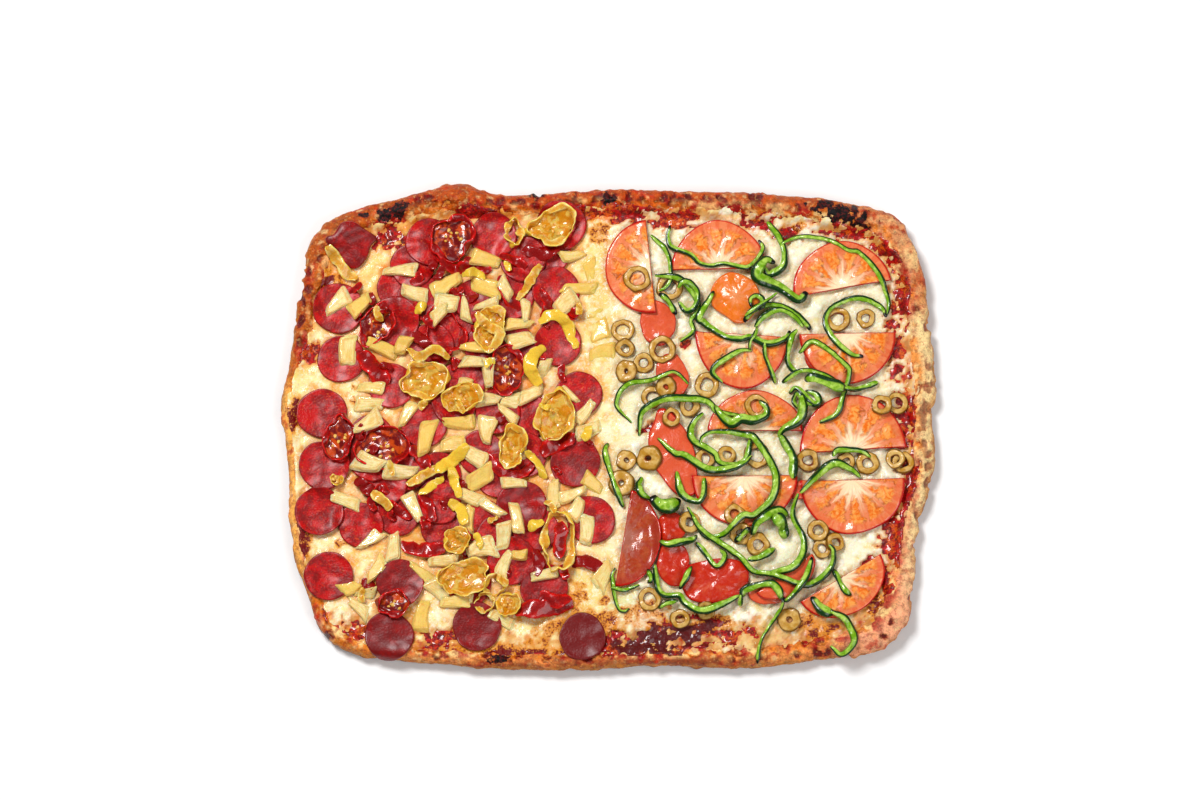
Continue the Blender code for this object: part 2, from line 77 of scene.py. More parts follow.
# Edge of the crust, clockwise from the upper left: photo x, photo y, rim width and height in mm
EDGE = (
    (303, 262, 20, 18), (311, 238, 22, 19), (330, 219, 22, 20), (362, 205, 21, 20),
    (405, 195, 20, 20), (455, 184, 22, 22), (482, 190, 20, 21), (520, 194, 18, 20),
    (600, 189, 18, 20), (690, 191, 18, 20), (770, 194, 18, 20), (830, 199, 20, 20),
    (893, 214, 23, 21), (914, 240, 23, 21), (930, 285, 20, 19), (929, 312, 18, 17),
    (938, 385, 17, 17), (932, 415, 16, 16), (935, 450, 16, 17), (933, 485, 16, 16),
    (920, 525, 17, 16), (913, 590, 20, 18), (906, 622, 24, 20), (880, 653, 24, 19),
    (820, 662, 18, 16), (775, 668, 16, 15), (700, 669, 14, 15), (640, 668, 13, 15),
    (560, 671, 12, 15), (480, 669, 12, 15), (380, 660, 11, 14), (352, 654, 12, 14),
    (323, 636, 12, 14), (312, 608, 11, 14), (294, 550, 10, 14), (288, 460, 9, 14),
    (281, 420, 10, 14), (282, 395, 10, 15), (291, 350, 12, 15), (296, 310, 15, 16),
)

# Blisters in the rim: photo x, photo y
PITS = (
    (475, 203), (490, 201), (500, 200), (520, 200), (537, 196), (597, 200), (613, 201), (629, 198),
    (643, 201), (658, 201), (672, 203), (686, 208), (690, 196), (707, 200), (722, 199), (775, 208),
    (805, 645), (820, 645), (797, 657), (716, 653), (930, 330), (931, 369), (935, 385), (924, 413),
    (923, 425), (926, 449), (928, 457), (929, 469), (929, 486), (413, 208), (320, 260), (330, 640),
    (905, 640), (890, 625), (912, 600), (884, 640), (668, 655), (575, 200), (560, 203), (447, 205),
)
# Bands of the rim with more blisters: the axis that they follow, from, to, place on the other axis,
# least and most beyond it, how many
PIT_BANDS = (("x", 410, 800, 197, 0, 12, 40), ("y", 310, 560, 925, -8, 6, 14),
             ("x", 420, 880, 653, -5, 9, 34), ("y", 270, 380, 300, -4, 8, 14))
# Burnt patches of the rim: photo x, photo y, half length and half breadth in pixels, turn
BURNS = (
    (842, 216, 22, 11, -12), (826, 206, 12, 6, 5), (858, 227, 10, 7, -30), (398, 213, 9, 6, 20),
    (385, 217, 6, 5, 0), (613, 201, 7, 5, 0), (505, 658, 10, 4, 20), (361, 217, 5, 3, 0),
    (537, 196, 5, 4, 0),
)
# Places where sauce shows instead of cheese: photo x, photo y, half sizes in pixels, turn
SAUCE_SHOWS = (
    (903, 295, 9, 24, 0), (897, 350, 9, 30, 0), (906, 420, 8, 40, 0), (908, 490, 8, 36, 0),
    (893, 540, 13, 30, 15), (878, 580, 12, 18, 30), (625, 216, 28, 10, 0), (675, 222, 24, 8, 0),
    (760, 226, 20, 7, 5), (785, 236, 12, 9, 0), (845, 234, 26, 7, -8), (880, 250, 22, 9, -35),
    (387, 238, 16, 14, 40), (308, 356, 12, 9, 30), (320, 620, 11, 8, -50), (358, 631, 12, 7, -20),
    (616, 643, 14, 10, 0), (637, 648, 18, 11, 0), (660, 643, 23, 16, 0), (686, 636, 22, 14, 0),
    (708, 628, 16, 11, 0), (728, 640, 14, 9, 0), (750, 632, 9, 6, 0), (590, 215, 18, 7, 0),
    (470, 214, 22, 6, 0), (440, 640, 14, 10, 0), (610, 650, 20, 6, 0), (648, 430, 10, 4, 10),
    (686, 345, 6, 5, 0), (655, 335, 5, 8, 0),
)
# Places where the sauce is burnt: the same
SAUCE_BURNT = ((660, 642, 24, 16, 0), (684, 636, 18, 12, 0), (632, 648, 18, 8, 0),
               (706, 627, 10, 7, 0))
# Places where the cheese is browned: photo x, photo y, half sizes in pixels, turn
BROWNED = (
    (600, 625, 70, 16, 3), (640, 612, 36, 12, 0), (605, 603, 8, 6, 0), (293, 420, 8, 16, 0),
    (300, 545, 12, 34, 0), (312, 588, 8, 18, 0), (370, 400, 22, 14, 0), (600, 234, 16, 12, 0),
    (796, 230, 14, 6, 0), (520, 650, 50, 10, 0), (720, 625, 30, 8, 0), (810, 625, 24, 12, 0),
    (845, 600, 20, 12, 30), (330, 285, 18, 16, 0), (405, 262, 14, 8, 0), (575, 600, 14, 16, 0),
    (348, 545, 12, 6, 0), (300, 300, 8, 24, 0), (870, 600, 14, 16, 0), (567, 608, 12, 8, 0),
)

# Places where the cheese is so thin that the dough shows through: the same
BARE = (
    (450, 652, 50, 14, 0), (540, 652, 50, 14, 0), (620, 648, 40, 18, 0), (690, 645, 44, 20, 0),
    (760, 640, 40, 18, 0), (820, 636, 40, 14, 0), (860, 610, 20, 24, 30),
    (911, 450, 6, 100, 0), (390, 640, 40, 14, -20),
)

# Pepperoni that mostly lies under other toppings: photo x, photo y
UNDER = (
    (400, 290), (392, 388), (372, 440), (425, 428), (463, 385), (462, 328), (512, 300), (513, 350),
    (482, 455), (440, 478), (400, 515), (445, 530), (484, 524), (529, 418), (525, 458), (438, 300),
    (362, 527), (470, 585), (478, 304), (432, 348), (488, 350), (408, 470), (386, 486), (440, 504),
    (500, 478), (500, 540), (537, 532), (498, 414), (374, 462), (548, 255), (524, 262), (455, 405),
    (420, 300),
)
# All the pepperoni, in the order laid: photo x, photo y, width in pixels, how dark, how cupped
PEPPERONI = tuple((x, y, 46, 0.2, 0.3) for x, y in UNDER) + (
    (413, 268, 46, 0.3, 0.3), (338, 311, 51, 0.25, 0.6), (342, 362, 48, 0.15, 0.3),
    (323, 416, 50, 0.0, 0.4), (325, 468, 50, 0.15, 0.4), (321, 514, 49, 0.3, 1.1),
    (331, 578, 49, 0.3, 0.7), (391, 637, 49, 0.75, 0.3), (479, 628, 49, 0.7, 0.3),
    (584, 638, 47, 0.9, 0.3), (430, 244, 48, 0.2, 0.3), (494, 238, 46, 0.15, 0.4),
    (562, 228, 50, 0.0, 0.3), (557, 293, 48, 0.05, 0.4), (559, 346, 47, 0.0, 0.4),
    (580, 397, 47, 0.05, 0.4), (576, 465, 50, 0.5, 0.5), (592, 522, 48, 0.1, 0.4),
    (523, 508, 50, 0.55, 0.5), (513, 563, 48, 0.1, 0.4), (402, 585, 48, 0.6, 1.0),
    (545, 590, 48, 0.45, 1.0), (395, 324, 50, 0.25, 0.3),
)
# Outline of the folded slice: photo x, photo y
FOLDED_SLICE = ((326, 241), (334, 238), (341, 227), (352, 225), (363, 231), (377, 240),
                (371, 248), (366, 262), (356, 271), (345, 267), (336, 252), (327, 247))


class TomatoCut(Enum):
    """What a tomato slice shows on top."""

    RIBBED = 0
    PLAIN = 1
    GLOSSY = 2
    CRUMPLED = 3
    BAKED = 4


RIBBED, PLAIN, GLOSSY, CRUMPLED, BAKED = TomatoCut

# Half slices: the cut side's two ends, then how far the round side stands out to the left of the
# way from the first end to the second, in photo pixels
TOMATO_HALVES = (
    (RIBBED, 647, 222, 657, 317, -46), (RIBBED, 768, 271, 672, 273, -50),
    (RIBBED, 893, 283, 795, 300, -48), (RIBBED, 696, 334, 790, 340, -55),
    (RIBBED, 800, 337, 897, 335, -52), (RIBBED, 803, 434, 708, 434, -40),
    (RIBBED, 907, 450, 800, 457, -55), (RIBBED, 692, 479, 798, 478, -50),
    (RIBBED, 800, 484, 905, 481, -55), (BAKED, 616, 588, 632, 493, -36),
    (RIBBED, 880, 556, 800, 604, 38), (PLAIN, 812, 556, 756, 596, 22),
)
# Other pieces: photo x, photo y, length, breadth in pixels, turn
TOMATO_PIECES = (
    (PLAIN, 658, 326, 36, 46, 10), (PLAIN, 674, 378, 30, 44, 15), (PLAIN, 674, 457, 46, 88, 18),
    (CRUMPLED, 738, 300, 50, 46, 10), (GLOSSY, 671, 531, 30, 34, 0), (GLOSSY, 673, 567, 32, 48, 4),
    (GLOSSY, 716, 583, 70, 46, 4), (PLAIN, 803, 492, 34, 18, 10), (GLOSSY, 826, 366, 48, 30, -38),
    (PLAIN, 768, 596, 40, 20, 0),
)

# Green pepper strips: width in pixels, then photo x and photo y of each point of the middle line
GREEN_STRIPS = (
    (5, 671, 228, 669, 240, 673, 250, 692, 258, 700, 266, 712, 269, 725, 267, 750, 270, 764, 252,
     760, 243), (5, 652, 237, 668, 255, 672, 280, 667, 290, 660, 294),
    (6, 656, 278, 682, 283, 698, 303, 697, 316, 692, 324, 694, 335, 681, 344),
    (6, 679, 292, 684, 286, 693, 288, 699, 298, 695, 311, 687, 314, 680, 305),
    (6, 660, 297, 668, 303, 677, 318),
    (7, 715, 295, 700, 320, 705, 326, 725, 340, 740, 343, 752, 341, 765, 347, 778, 346, 788, 340,
     791, 334), (7, 769, 224, 783, 244, 785, 268, 770, 277, 766, 270),
    (11, 776, 266, 766, 264, 758, 280, 780, 290, 799, 303, 808, 296),
    (5, 783, 246, 800, 239, 828, 242, 850, 253, 862, 256, 880, 277, 889, 300, 890, 312, 887, 320),
    (6, 887, 320, 882, 310, 860, 301, 835, 309, 826, 325, 836, 345, 852, 358, 864, 360),
    (7, 745, 325, 752, 315, 763, 309, 777, 308, 790, 313, 808, 327, 811, 333),
    (6, 756, 330, 762, 321, 772, 315, 784, 314, 796, 321, 804, 330),
    (5, 752, 311, 751, 303, 757, 299, 763, 302, 764, 310, 759, 314),
    (4, 746, 320, 766, 306, 778, 296), (6, 798, 333, 792, 342, 788, 362, 793, 372, 800, 376),
    (6, 800, 357, 815, 346, 845, 368, 850, 378, 844, 398, 838, 417, 820, 426),
    (6, 783, 385, 803, 374, 828, 382, 843, 392), (11, 806, 384, 816, 383, 845, 394),
    (6, 845, 393, 855, 393, 879, 385), (5, 765, 347, 766, 360, 776, 386),
    (6, 790, 396, 798, 391, 814, 407, 820, 405, 816, 397, 806, 394),
    (5, 812, 409, 804, 404, 798, 396, 794, 404, 800, 412),
    (9, 803, 400, 801, 422, 783, 434, 780, 441), (10, 781, 440, 793, 460, 793, 482),
    (7, 640, 438, 643, 415, 665, 403, 700, 403, 712, 408, 718, 415, 742, 419),
    (9, 716, 410, 722, 420, 732, 427, 742, 423, 754, 425, 766, 420, 767, 412, 760, 405),
    (5, 632, 425, 619, 412, 617, 405, 622, 393, 633, 386, 655, 383, 675, 376, 689, 387),
    (6, 752, 354, 740, 355, 718, 368, 713, 377, 723, 386),
    (4, 758, 330, 756, 338, 751, 345, 750, 354),
    (7, 704, 416, 695, 424, 691, 436, 695, 445, 714, 456, 718, 464, 725, 468, 738, 468, 747, 462,
     751, 443),
    (7, 700, 447, 704, 440, 715, 435, 745, 438, 757, 444, 775, 475, 773, 500, 755, 518, 742, 520,
     725, 536, 705, 538, 688, 510),
    (7, 659, 442, 675, 457, 685, 459, 703, 471, 715, 474, 730, 473, 745, 467, 752, 460),
    (6, 609, 446, 606, 455, 614, 485, 624, 510), (7, 643, 480, 639, 488, 642, 497, 651, 502),
    (14, 652, 501, 660, 508, 670, 510, 680, 503),
    (7, 677, 475, 682, 497, 698, 505, 704, 498, 705, 482),
    (9, 752, 538, 758, 526, 778, 514, 788, 518), (13, 775, 520, 782, 528, 785, 540),
    (8, 860, 480, 850, 472, 830, 468, 800, 497),
    (7, 798, 498, 793, 517, 803, 540, 803, 555, 795, 568, 785, 573, 765, 576),
    (6, 833, 460, 838, 454, 860, 454, 871, 460),
    (6, 697, 545, 705, 555, 715, 569, 722, 566, 725, 558, 721, 552),
    (7, 660, 545, 670, 548, 692, 543, 697, 538),
    (7, 655, 568, 658, 590, 665, 597, 680, 598, 685, 605, 705, 613, 740, 598),
    (7, 693, 520, 703, 534, 738, 558, 752, 573, 770, 577, 800, 587, 812, 586, 825, 577, 833, 565,
     833, 553, 829, 548), (6, 812, 560, 804, 583, 787, 603, 782, 600),
    (8, 742, 600, 745, 592, 768, 587, 777, 592, 781, 602),
    (4, 781, 602, 781, 610, 762, 640, 757, 664), (10, 811, 600, 822, 613, 833, 615),
    (7, 830, 614, 845, 622, 853, 643, 841, 656, 830, 648),
    (4, 630, 610, 625, 613, 618, 608, 613, 580, 616, 570), (4, 612, 590, 625, 592, 640, 587),
    (5, 741, 598, 740, 608), (5, 648, 572, 652, 582, 648, 585), (6, 692, 570, 686, 582, 680, 592),
    (7, 748, 563, 760, 560, 775, 551), (6, 833, 572, 842, 590, 850, 598),
    (5, 659, 610, 668, 605, 678, 603), (6, 735, 545, 742, 538, 750, 532),
)


class OliveCut(Enum):
    """How an olive slice was cut: an open ring, or a slice from the end with a narrow slit."""

    RING = 0
    DISC = 1


# Olive slices: cut, width in pixels, then photo x and photo y of each
OLIVES = (
    (OliveCut.RING, 25, (
        (638, 282), (624, 333), (663, 353), (671, 290), (708, 388), (757, 458), (839, 322),
        (898, 406), (653, 400), (757, 410), (650, 601))),
    (OliveCut.RING, 21, (
        (882, 409), (822, 551), (818, 533), (680, 620), (690, 409), (742, 536), (868, 466),
        (903, 465), (867, 321), (706, 462), (727, 458), (808, 463), (758, 547), (690, 525),
        (706, 612), (847, 464), (672, 421), (644, 366), (626, 351), (835, 545), (735, 518),
        (895, 462))),
    (OliveCut.DISC, 24, (
        (627, 374), (667, 390), (627, 463), (650, 461), (789, 621), (622, 486))),
)


class PepperForm(Enum):
    """How a slice of a small pepper lies: an open ring, or a ring with its inside showing."""

    RING = 0
    CUP = 1


RING, CUP = PepperForm

# Yellow pepper slices: form, photo x, photo y, length, breadth in pixels, turn, wall in mm
YELLOW_SLICES = (
    (CUP, 552, 229, 50, 34, 15, 5.0), (CUP, 425, 385, 46, 36, 0, 4.5),
    (CUP, 557, 420, 50, 34, 80, 4.5), (RING, 558, 543, 58, 30, 85, 5.5),
    (CUP, 514, 450, 40, 26, 90, 4.5), (CUP, 465, 580, 50, 32, 10, 4.5),
    (RING, 515, 235, 32, 17, 90, 5.5), (CUP, 463, 402, 38, 28, 10, 4.0),
    (RING, 496, 588, 22, 20, 0, 4.0), (RING, 486, 604, 22, 18, 20, 4.0),
    (CUP, 510, 606, 24, 26, 0, 3.5), (CUP, 490, 334, 30, 44, 0, 4.5),
    (CUP, 458, 543, 28, 24, 20, 3.5), (CUP, 338, 483, 13, 11, 0, 2.5),
)
# Yellow pepper strips, like the green ones
YELLOW_STRIPS = (
    (12, 328, 250, 337, 262, 345, 274, 356, 282), (9, 541, 268, 531, 284, 518, 303),
    (12, 540, 326, 552, 319, 566, 325, 578, 352), (9, 528, 455, 538, 466, 546, 481),
    (11, 409, 488, 425, 479, 440, 470), (13, 436, 476, 452, 464, 470, 449),
    (10, 452, 471, 456, 485, 460, 500), (12, 450, 505, 461, 512, 466, 527),
    (9, 420, 497, 432, 490, 446, 482), (10, 408, 352, 422, 361, 435, 354, 450, 362),
    (10, 373, 495, 383, 503, 393, 512), (13, 546, 350, 534, 360, 531, 374, 541, 388),
    (11, 476, 318, 488, 330, 500, 338, 494, 354), (8, 486, 282, 476, 276, 462, 279),
)
# Red chilli slices and strips, like the yellow ones
CHILLI_SLICES = (
    (CUP, 453, 240, 42, 38, 60, 4.5), (RING, 445, 335, 50, 36, 100, 4.5),
    (CUP, 340, 440, 46, 28, 80, 4.0), (CUP, 386, 452, 48, 42, 0, 4.0),
    (CUP, 508, 374, 48, 32, 90, 4.5), (CUP, 376, 330, 42, 34, 60, 4.0),
    (CUP, 397, 606, 30, 28, 0, 4.0),
)
CHILLI_STRIPS = (
    (10, 487, 455, 500, 474, 520, 478, 538, 464), (15, 523, 252, 540, 257, 560, 252),
    (14, 502, 278, 507, 296, 520, 314), (16, 403, 548, 425, 552, 446, 551),
    (13, 356, 484, 365, 488, 374, 497), (17, 541, 456, 558, 447, 576, 441),
    (15, 572, 565, 586, 563, 603, 571), (20, 517, 612, 545, 610, 574, 604),
    (12, 422, 496, 430, 510, 434, 526), (12, 466, 262, 478, 268, 490, 274),
    (11, 500, 258, 514, 263, 528, 270), (12, 440, 265, 456, 272, 470, 268),
    (10, 540, 292, 548, 306, 545, 322), (12, 415, 335, 428, 350, 440, 362),
    (10, 385, 505, 398, 512, 412, 522), (12, 536, 552, 540, 565, 536, 578),
    (14, 560, 524, 562, 542, 558, 560), (16, 540, 598, 556, 604, 570, 600),
    (14, 412, 452, 424, 462, 430, 474),
)
DRIED_CHILLI = (20, 361, 357, 373, 370, 388, 388)

# Pineapple tidbits: photo x, photo y, length, breadth in pixels, turn
PINEAPPLE = (
    (400, 273, 32, 14, 5), (415, 297, 25, 14, -20), (447, 288, 32, 18, 30), (486, 262, 28, 16, -15),
    (486, 290, 30, 16, -20), (487, 308, 24, 12, 10), (447, 307, 22, 18, 0), (466, 312, 24, 12, 90),
    (526, 315, 26, 12, 90), (519, 327, 26, 13, 5), (521, 343, 26, 16, 20), (573, 258, 24, 12, 15),
    (592, 275, 28, 15, 100), (580, 291, 32, 11, 0), (566, 306, 25, 18, 40), (599, 333, 22, 20, 30),
    (602, 355, 26, 18, 10), (597, 312, 22, 16, 60), (348, 353, 28, 16, 90), (360, 308, 24, 16, 45),
    (337, 305, 28, 18, 45), (383, 351, 30, 12, -25), (403, 348, 18, 14, 60), (371, 390, 26, 12, 0),
    (370, 407, 28, 16, 0), (369, 427, 28, 18, 30), (408, 417, 26, 14, 60), (427, 441, 34, 16, 75),
    (478, 366, 30, 12, -10), (489, 377, 26, 12, 90), (466, 386, 14, 12, 0), (480, 350, 34, 14, 0),
    (490, 403, 24, 14, 0), (512, 404, 18, 16, 0), (532, 397, 24, 12, 25), (509, 418, 24, 12, -40),
    (570, 398, 22, 12, -35), (586, 415, 25, 12, 50), (590, 433, 26, 14, 20), (487, 433, 26, 20, 80),
    (460, 426, 30, 14, 0), (454, 447, 24, 18, 0), (476, 460, 26, 16, -30), (481, 481, 28, 16, 30),
    (515, 486, 24, 11, 0), (523, 450, 24, 10, 90), (554, 497, 27, 12, 90), (574, 497, 27, 12, 20),
    (578, 512, 22, 14, 60), (594, 486, 22, 14, -40), (588, 532, 27, 14, 90),
    (518, 521, 30, 11, -80), (493, 511, 26, 10, -35), (471, 500, 24, 12, -25),
    (469, 521, 24, 14, 75), (482, 550, 28, 22, 10), (505, 539, 25, 14, 90), (505, 566, 27, 14, 70),
    (521, 558, 14, 10, 0), (395, 549, 27, 13, 90), (372, 543, 26, 12, 40), (347, 503, 28, 12, -20),
    (378, 571, 26, 14, 55), (367, 595, 20, 12, 0), (361, 609, 24, 14, -35), (426, 577, 34, 14, -40),
    (440, 592, 24, 16, -50), (423, 617, 29, 15, 85), (458, 603, 30, 14, 5), (503, 620, 25, 12, -30),
    (445, 563, 28, 12, 0), (546, 577, 26, 10, 10), (605, 577, 26, 18, 60), (402, 476, 32, 16, 0),
    (370, 468, 28, 18, -20), (415, 511, 30, 14, -60), (352, 590, 18, 14, 20),
    (543, 372, 20, 12, 60), (440, 318, 20, 12, 40), (506, 292, 20, 12, -60),
)


@dataclass(frozen=True)
class PhotoFrame:
    """Where the photograph's pixels fall on the pizza, seen from above at a steep slant."""

    middle: tuple[float, float] = (609.5, 427.2)
    pixel: float = 0.0007
    elevation: float = math.radians(81.2)
    level: float = 0.014
    centre: tuple[float, float] = (600.8, 402.6)
    across: int = 1200

    def spots(self, places: Any) -> Rows:
        """Places on the pizza of places in the photograph.

        Args:
            places: rows of photo x and photo y.

        Returns:
            Rows of x and y.
        """
        places = np.reshape(np.asarray(places, dtype=float), (-1, 2))
        x = (places[:, 0] - self.middle[0]) * self.pixel
        y = (self.middle[1] - places[:, 1]) * self.pixel / math.sin(self.elevation)
        return beside(x, y)

    def seen(self, points: Rows) -> Rows:
        """Where points of the pizza show in the photograph.

        Args:
            points: rows of x, y and z.

        Returns:
            Rows of photo x and photo y.
        """
        drop = points[:, 1] * math.sin(self.elevation)
        drop = drop + (points[:, 2] - self.level) * math.cos(self.elevation)
        return beside(self.middle[0] + points[:, 0] / self.pixel,
                      self.middle[1] - drop / self.pixel)


PHOTO = PhotoFrame()


def beside(*columns: Any) -> Rows:
    """Rows whose columns are these, side by side."""
    return np.column_stack(columns)


def with_column(rows: Rows, level: float) -> Rows:
    """Rows with one more column, the same for all."""
    return beside(rows, np.full(len(rows), level))


def tone(colour: Colour) -> Colour:
    """Colour as the shaders count it, from the one that the eye sees, less the surface's sheen."""
    parts = (c / 12.92 if c < 0.04045 else ((c + 0.055) / 1.055) ** 2.4 for c in colour)
    return tuple(max((part - SHEEN) / (1 - SHEEN), 0.002) for part in parts)


def turned(across: Rows, up: Rows, degrees: float) -> Rows:
    """Rows of x and y of places turned counter-clockwise about the origin."""
    angle = math.radians(degrees)
    cos, sin = math.cos(angle), math.sin(angle)
    return beside(across * cos - up * sin, across * sin + up * cos)


# Cells along each side of the lattice that grain() is made from
LATTICE = 40


def grain(points: Rows, size: float, seed: int, octaves: int = 1) -> Rows:
    """Smooth uneven values at points, mostly between -1 and 1.

    Args:
        points: rows of x, y and z.
        size: distance over which the value changes.
        seed: picks the pattern.
        octaves: how many finer patterns are added, each half as strong.

    Returns:
        One value for each point.
    """
    lattice = np.random.default_rng(seed).uniform(-1, 1, (LATTICE,) * 3)
    total = np.zeros(len(points))
    for octave in range(octaves):
        place = points / size * 2 ** octave + 0.37 * (seed + octave)
        cell = np.floor(place).astype(int)
        part = place - cell
        part = part * part * (3 - 2 * part)
        for corner in product((0, 1), repeat=3):
            share = np.prod(np.where(corner, part, 1 - part), axis=1)
            index = (cell + corner) % LATTICE
            total += 0.5 ** octave * share * lattice[index[:, 0], index[:, 1], index[:, 2]]
    return total


def ramp(value: Rows, low: float, high: float) -> Rows:
    """Smooth step from 0 at low to 1 at high."""
    part = np.clip((value - low) / (high - low), 0, 1)
    return part * part * (3 - 2 * part)


def blots(seen: Rows, table: Sequence[Sequence[float]], soft: float, ragged: float,
          seed: int, size: float = 7) -> Rows:
    """How much each point lies in any of some ragged ovals.

    Args:
        seen: photo x and photo y of the points.
        table: rows of photo x, photo y, half length, half breadth and turn in degrees.
        soft: share of an oval's size over which it fades.
        ragged: share of its size by which its edge wanders.
        seed: picks the raggedness.
        size: distance in photo pixels over which the edge wanders.

    Returns:
        A value from 0 to 1 for each point.
    """
    wander = ragged * grain(with_column(seen, 0), size, seed, 3)
    found = np.zeros(len(seen))
    for x, y, length, breadth, turn in table:
        away = turned(seen[:, 0] - x, y - seen[:, 1], -turn)
        reach = np.hypot(away[:, 0] / length, away[:, 1] / breadth)
        found = np.maximum(found, 1 - ramp(reach + wander, 1 - soft, 1 + soft))
    return found


def smooth_curve(points: Any, step: float, closed: bool) -> Rows:
    """Evenly spaced points on a Catmull-Rom curve through the given ones.

    Args:
        points: rows whose first two columns are places; the others are carried along.
        step: distance between the points made.
        closed: whether the curve returns to its start.

    Returns:
        Rows with the same columns.
    """
    points = np.asarray(points, dtype=float)
    if closed:
        padded = np.vstack((points[-1:], points, points[:2]))
    else:
        padded = np.vstack((2 * points[0] - points[1], points, 2 * points[-1] - points[-2]))
    t = np.linspace(0, 1, 24, endpoint=False)[:, None]
    spans = []
    for first in range(len(padded) - 3):
        a, b, c, d = padded[first:first + 4]
        bend = (2 * a - 5 * b + 4 * c - d) * t ** 2 + (3 * b - a - 3 * c + d) * t ** 3
        spans.append(0.5 * (2 * b + (c - a) * t + bend))
    dense = np.vstack(spans + [points[:1] if closed else points[-1:]])
    along = np.concatenate(((0,), np.cumsum(np.linalg.norm(np.diff(dense[:, :2], axis=0), axis=1))))
    where = np.linspace(0, along[-1], max(3, round(along[-1] / step)) + 1)
    if closed:
        where = where[:-1]
    return np.column_stack([np.interp(where, along, column) for column in dense.T])


def oval(row: Sequence[float], count: int, uneven: float, seed: int) -> Rows:
    """Outline of an uneven oval, counter-clockwise from above.

    Args:
        row: photo x and photo y of its middle, its length and breadth in pixels, and its turn in
            degrees.
        count: how many points it has.
        uneven: share of its size by which it wanders.
        seed: picks the unevenness.

    Returns:
        Rows of x and y on the pizza.
    """
    x, y, length, breadth, turn = row
    angle = np.linspace(0, 2 * math.pi, count, endpoint=False)
    round_about = beside(np.cos(angle), np.sin(angle), np.zeros(count))
    swell = 1 + uneven * grain(round_about, 0.8, seed, 2)
    across = 0.5 * length * PHOTO.pixel * swell * np.cos(angle)
    up = 0.5 * breadth * PHOTO.pixel * swell * np.sin(angle)
    return PHOTO.spots((x, y)) + turned(across, up, turn)


def math_node(operation: str, turned: bool = False) -> Callable[..., "Wire"]:
    """Method that adds a Math node.

    Args:
        operation: what the node works out.
        turned: whether its values stand the other way round.

    Returns:
        The method.
    """

    def added(wire: "Wire", *others: Value) -> "Wire":
        """Result of the node."""
        values = (wire, *others)[::-1 if turned else 1]
        return wire.graph.node("ShaderNodeMath", {"operation": operation}, dict(enumerate(values)))

    return added


class Wire:
    """A node socket that arithmetic works on, adding a Math node for each step."""

    __add__ = __radd__ = math_node("ADD")
    __sub__, __rsub__ = math_node("SUBTRACT"), math_node("SUBTRACT", True)
    __mul__ = __rmul__ = math_node("MULTIPLY")
    __truediv__, __pow__, __abs__ = math_node("DIVIDE"), math_node("POWER"), math_node("ABSOLUTE")
    fraction, sign = math_node("FRACT"), math_node("SIGN")
    larger, angle_of = math_node("MAXIMUM"), math_node("ARCTAN2")

    def __init__(self, graph: "Graph", socket: bpy.types.NodeSocket) -> None:
        """Keeps the socket and the graph that it belongs to."""
        self.graph, self.socket = graph, socket

    def step(self, low: float, high: float) -> "Wire":
        """Smooth step from 0 at low to 1 at high."""
        return self.graph.node("ShaderNodeMapRange", {"interpolation_type": "SMOOTHSTEP"},
                               {"Value": self, "From Min": low, "From Max": high})


class Graph:
    """A node tree, for a material or for geometry, that is built from Python expressions."""

    def __init__(self, tree: bpy.types.NodeTree) -> None:
        """Keeps the tree."""
        self.tree = tree

    def node(self, kind: str, settings: dict[str, Any], sockets: dict[Any, Any],
             out: Union[str, int] = 0) -> Wire:
        """Adds a node.

        Args:
            kind: the node's type.
            settings: its own settings, set before its sockets.
            sockets: the value or the wire for each input, by name or place.
            out: which output is wanted.

        Returns:
            The wire of that output, or of the first input of a node without outputs.
        """
        made = self.tree.nodes.new(kind)
        for name, value in settings.items():
            setattr(made, name, value)
        for key, value in sockets.items():
            if isinstance(value, Wire):
                self.tree.links.new(value.socket, made.inputs[key])
            else:
                made.inputs[key].default_value = value
        return Wire(self, made.outputs[out] if made.outputs else made.inputs[0])

    def read(self, name: str, out: str = "Fac") -> Wire:
        """Value that a mesh carries under a name."""
        return self.node("ShaderNodeAttribute", {"attribute_name": name}, {}, out)

    def mix(self, factor: Value, first: Value, second: Value) -> Wire:
        """Colour between two colours."""
        colours = [c if isinstance(c, Wire) else (*tone(c), 1) for c in (first, second)]
        return self.node("ShaderNodeMix", {"data_type": "RGBA"},
                         {0: factor, 6: colours[0], 7: colours[1]}, 2)

    def scaled(self, colour: Wire, factor: Value) -> Wire:
        """Colour made lighter or darker."""
        return self.node("ShaderNodeVectorMath", {"operation": "SCALE"},
                         {"Vector": colour, "Scale": factor})

    def place(self) -> Wire:
        """Place on the object, in metres."""
        return self.node("ShaderNodeTexCoord", {}, {}, "Object")

    def noise(self, size: float, detail: float = 2, where: Wire | None = None,
              bend: float = 0.0) -> Wire:
        """Cloudy noise from 0 to 1 with features of the given size."""
        return self.node("ShaderNodeTexNoise", {},
                         {"Vector": where or self.place(), "Scale": 1 / size, "Detail": detail,
                          "Roughness": 0.55, "Distortion": bend})

    def cells(self, size: float) -> Wire:
        """Distance to the nearest of scattered points, as a share of their spacing."""
        return self.node("ShaderNodeTexVoronoi", {}, {"Vector": self.place(), "Scale": 1 / size},
                         "Distance")

    def part(self, vector: Wire, axis: int) -> Wire:
        """One part of a vector."""
        return self.node("ShaderNodeSeparateXYZ", {}, {0: vector}, axis)


@dataclass(frozen=True)
class Look:
    """Colour, roughness and fine relief in millimetres of a finish, as wires."""

    colour: Wire
    roughness: Value
    relief: Wire


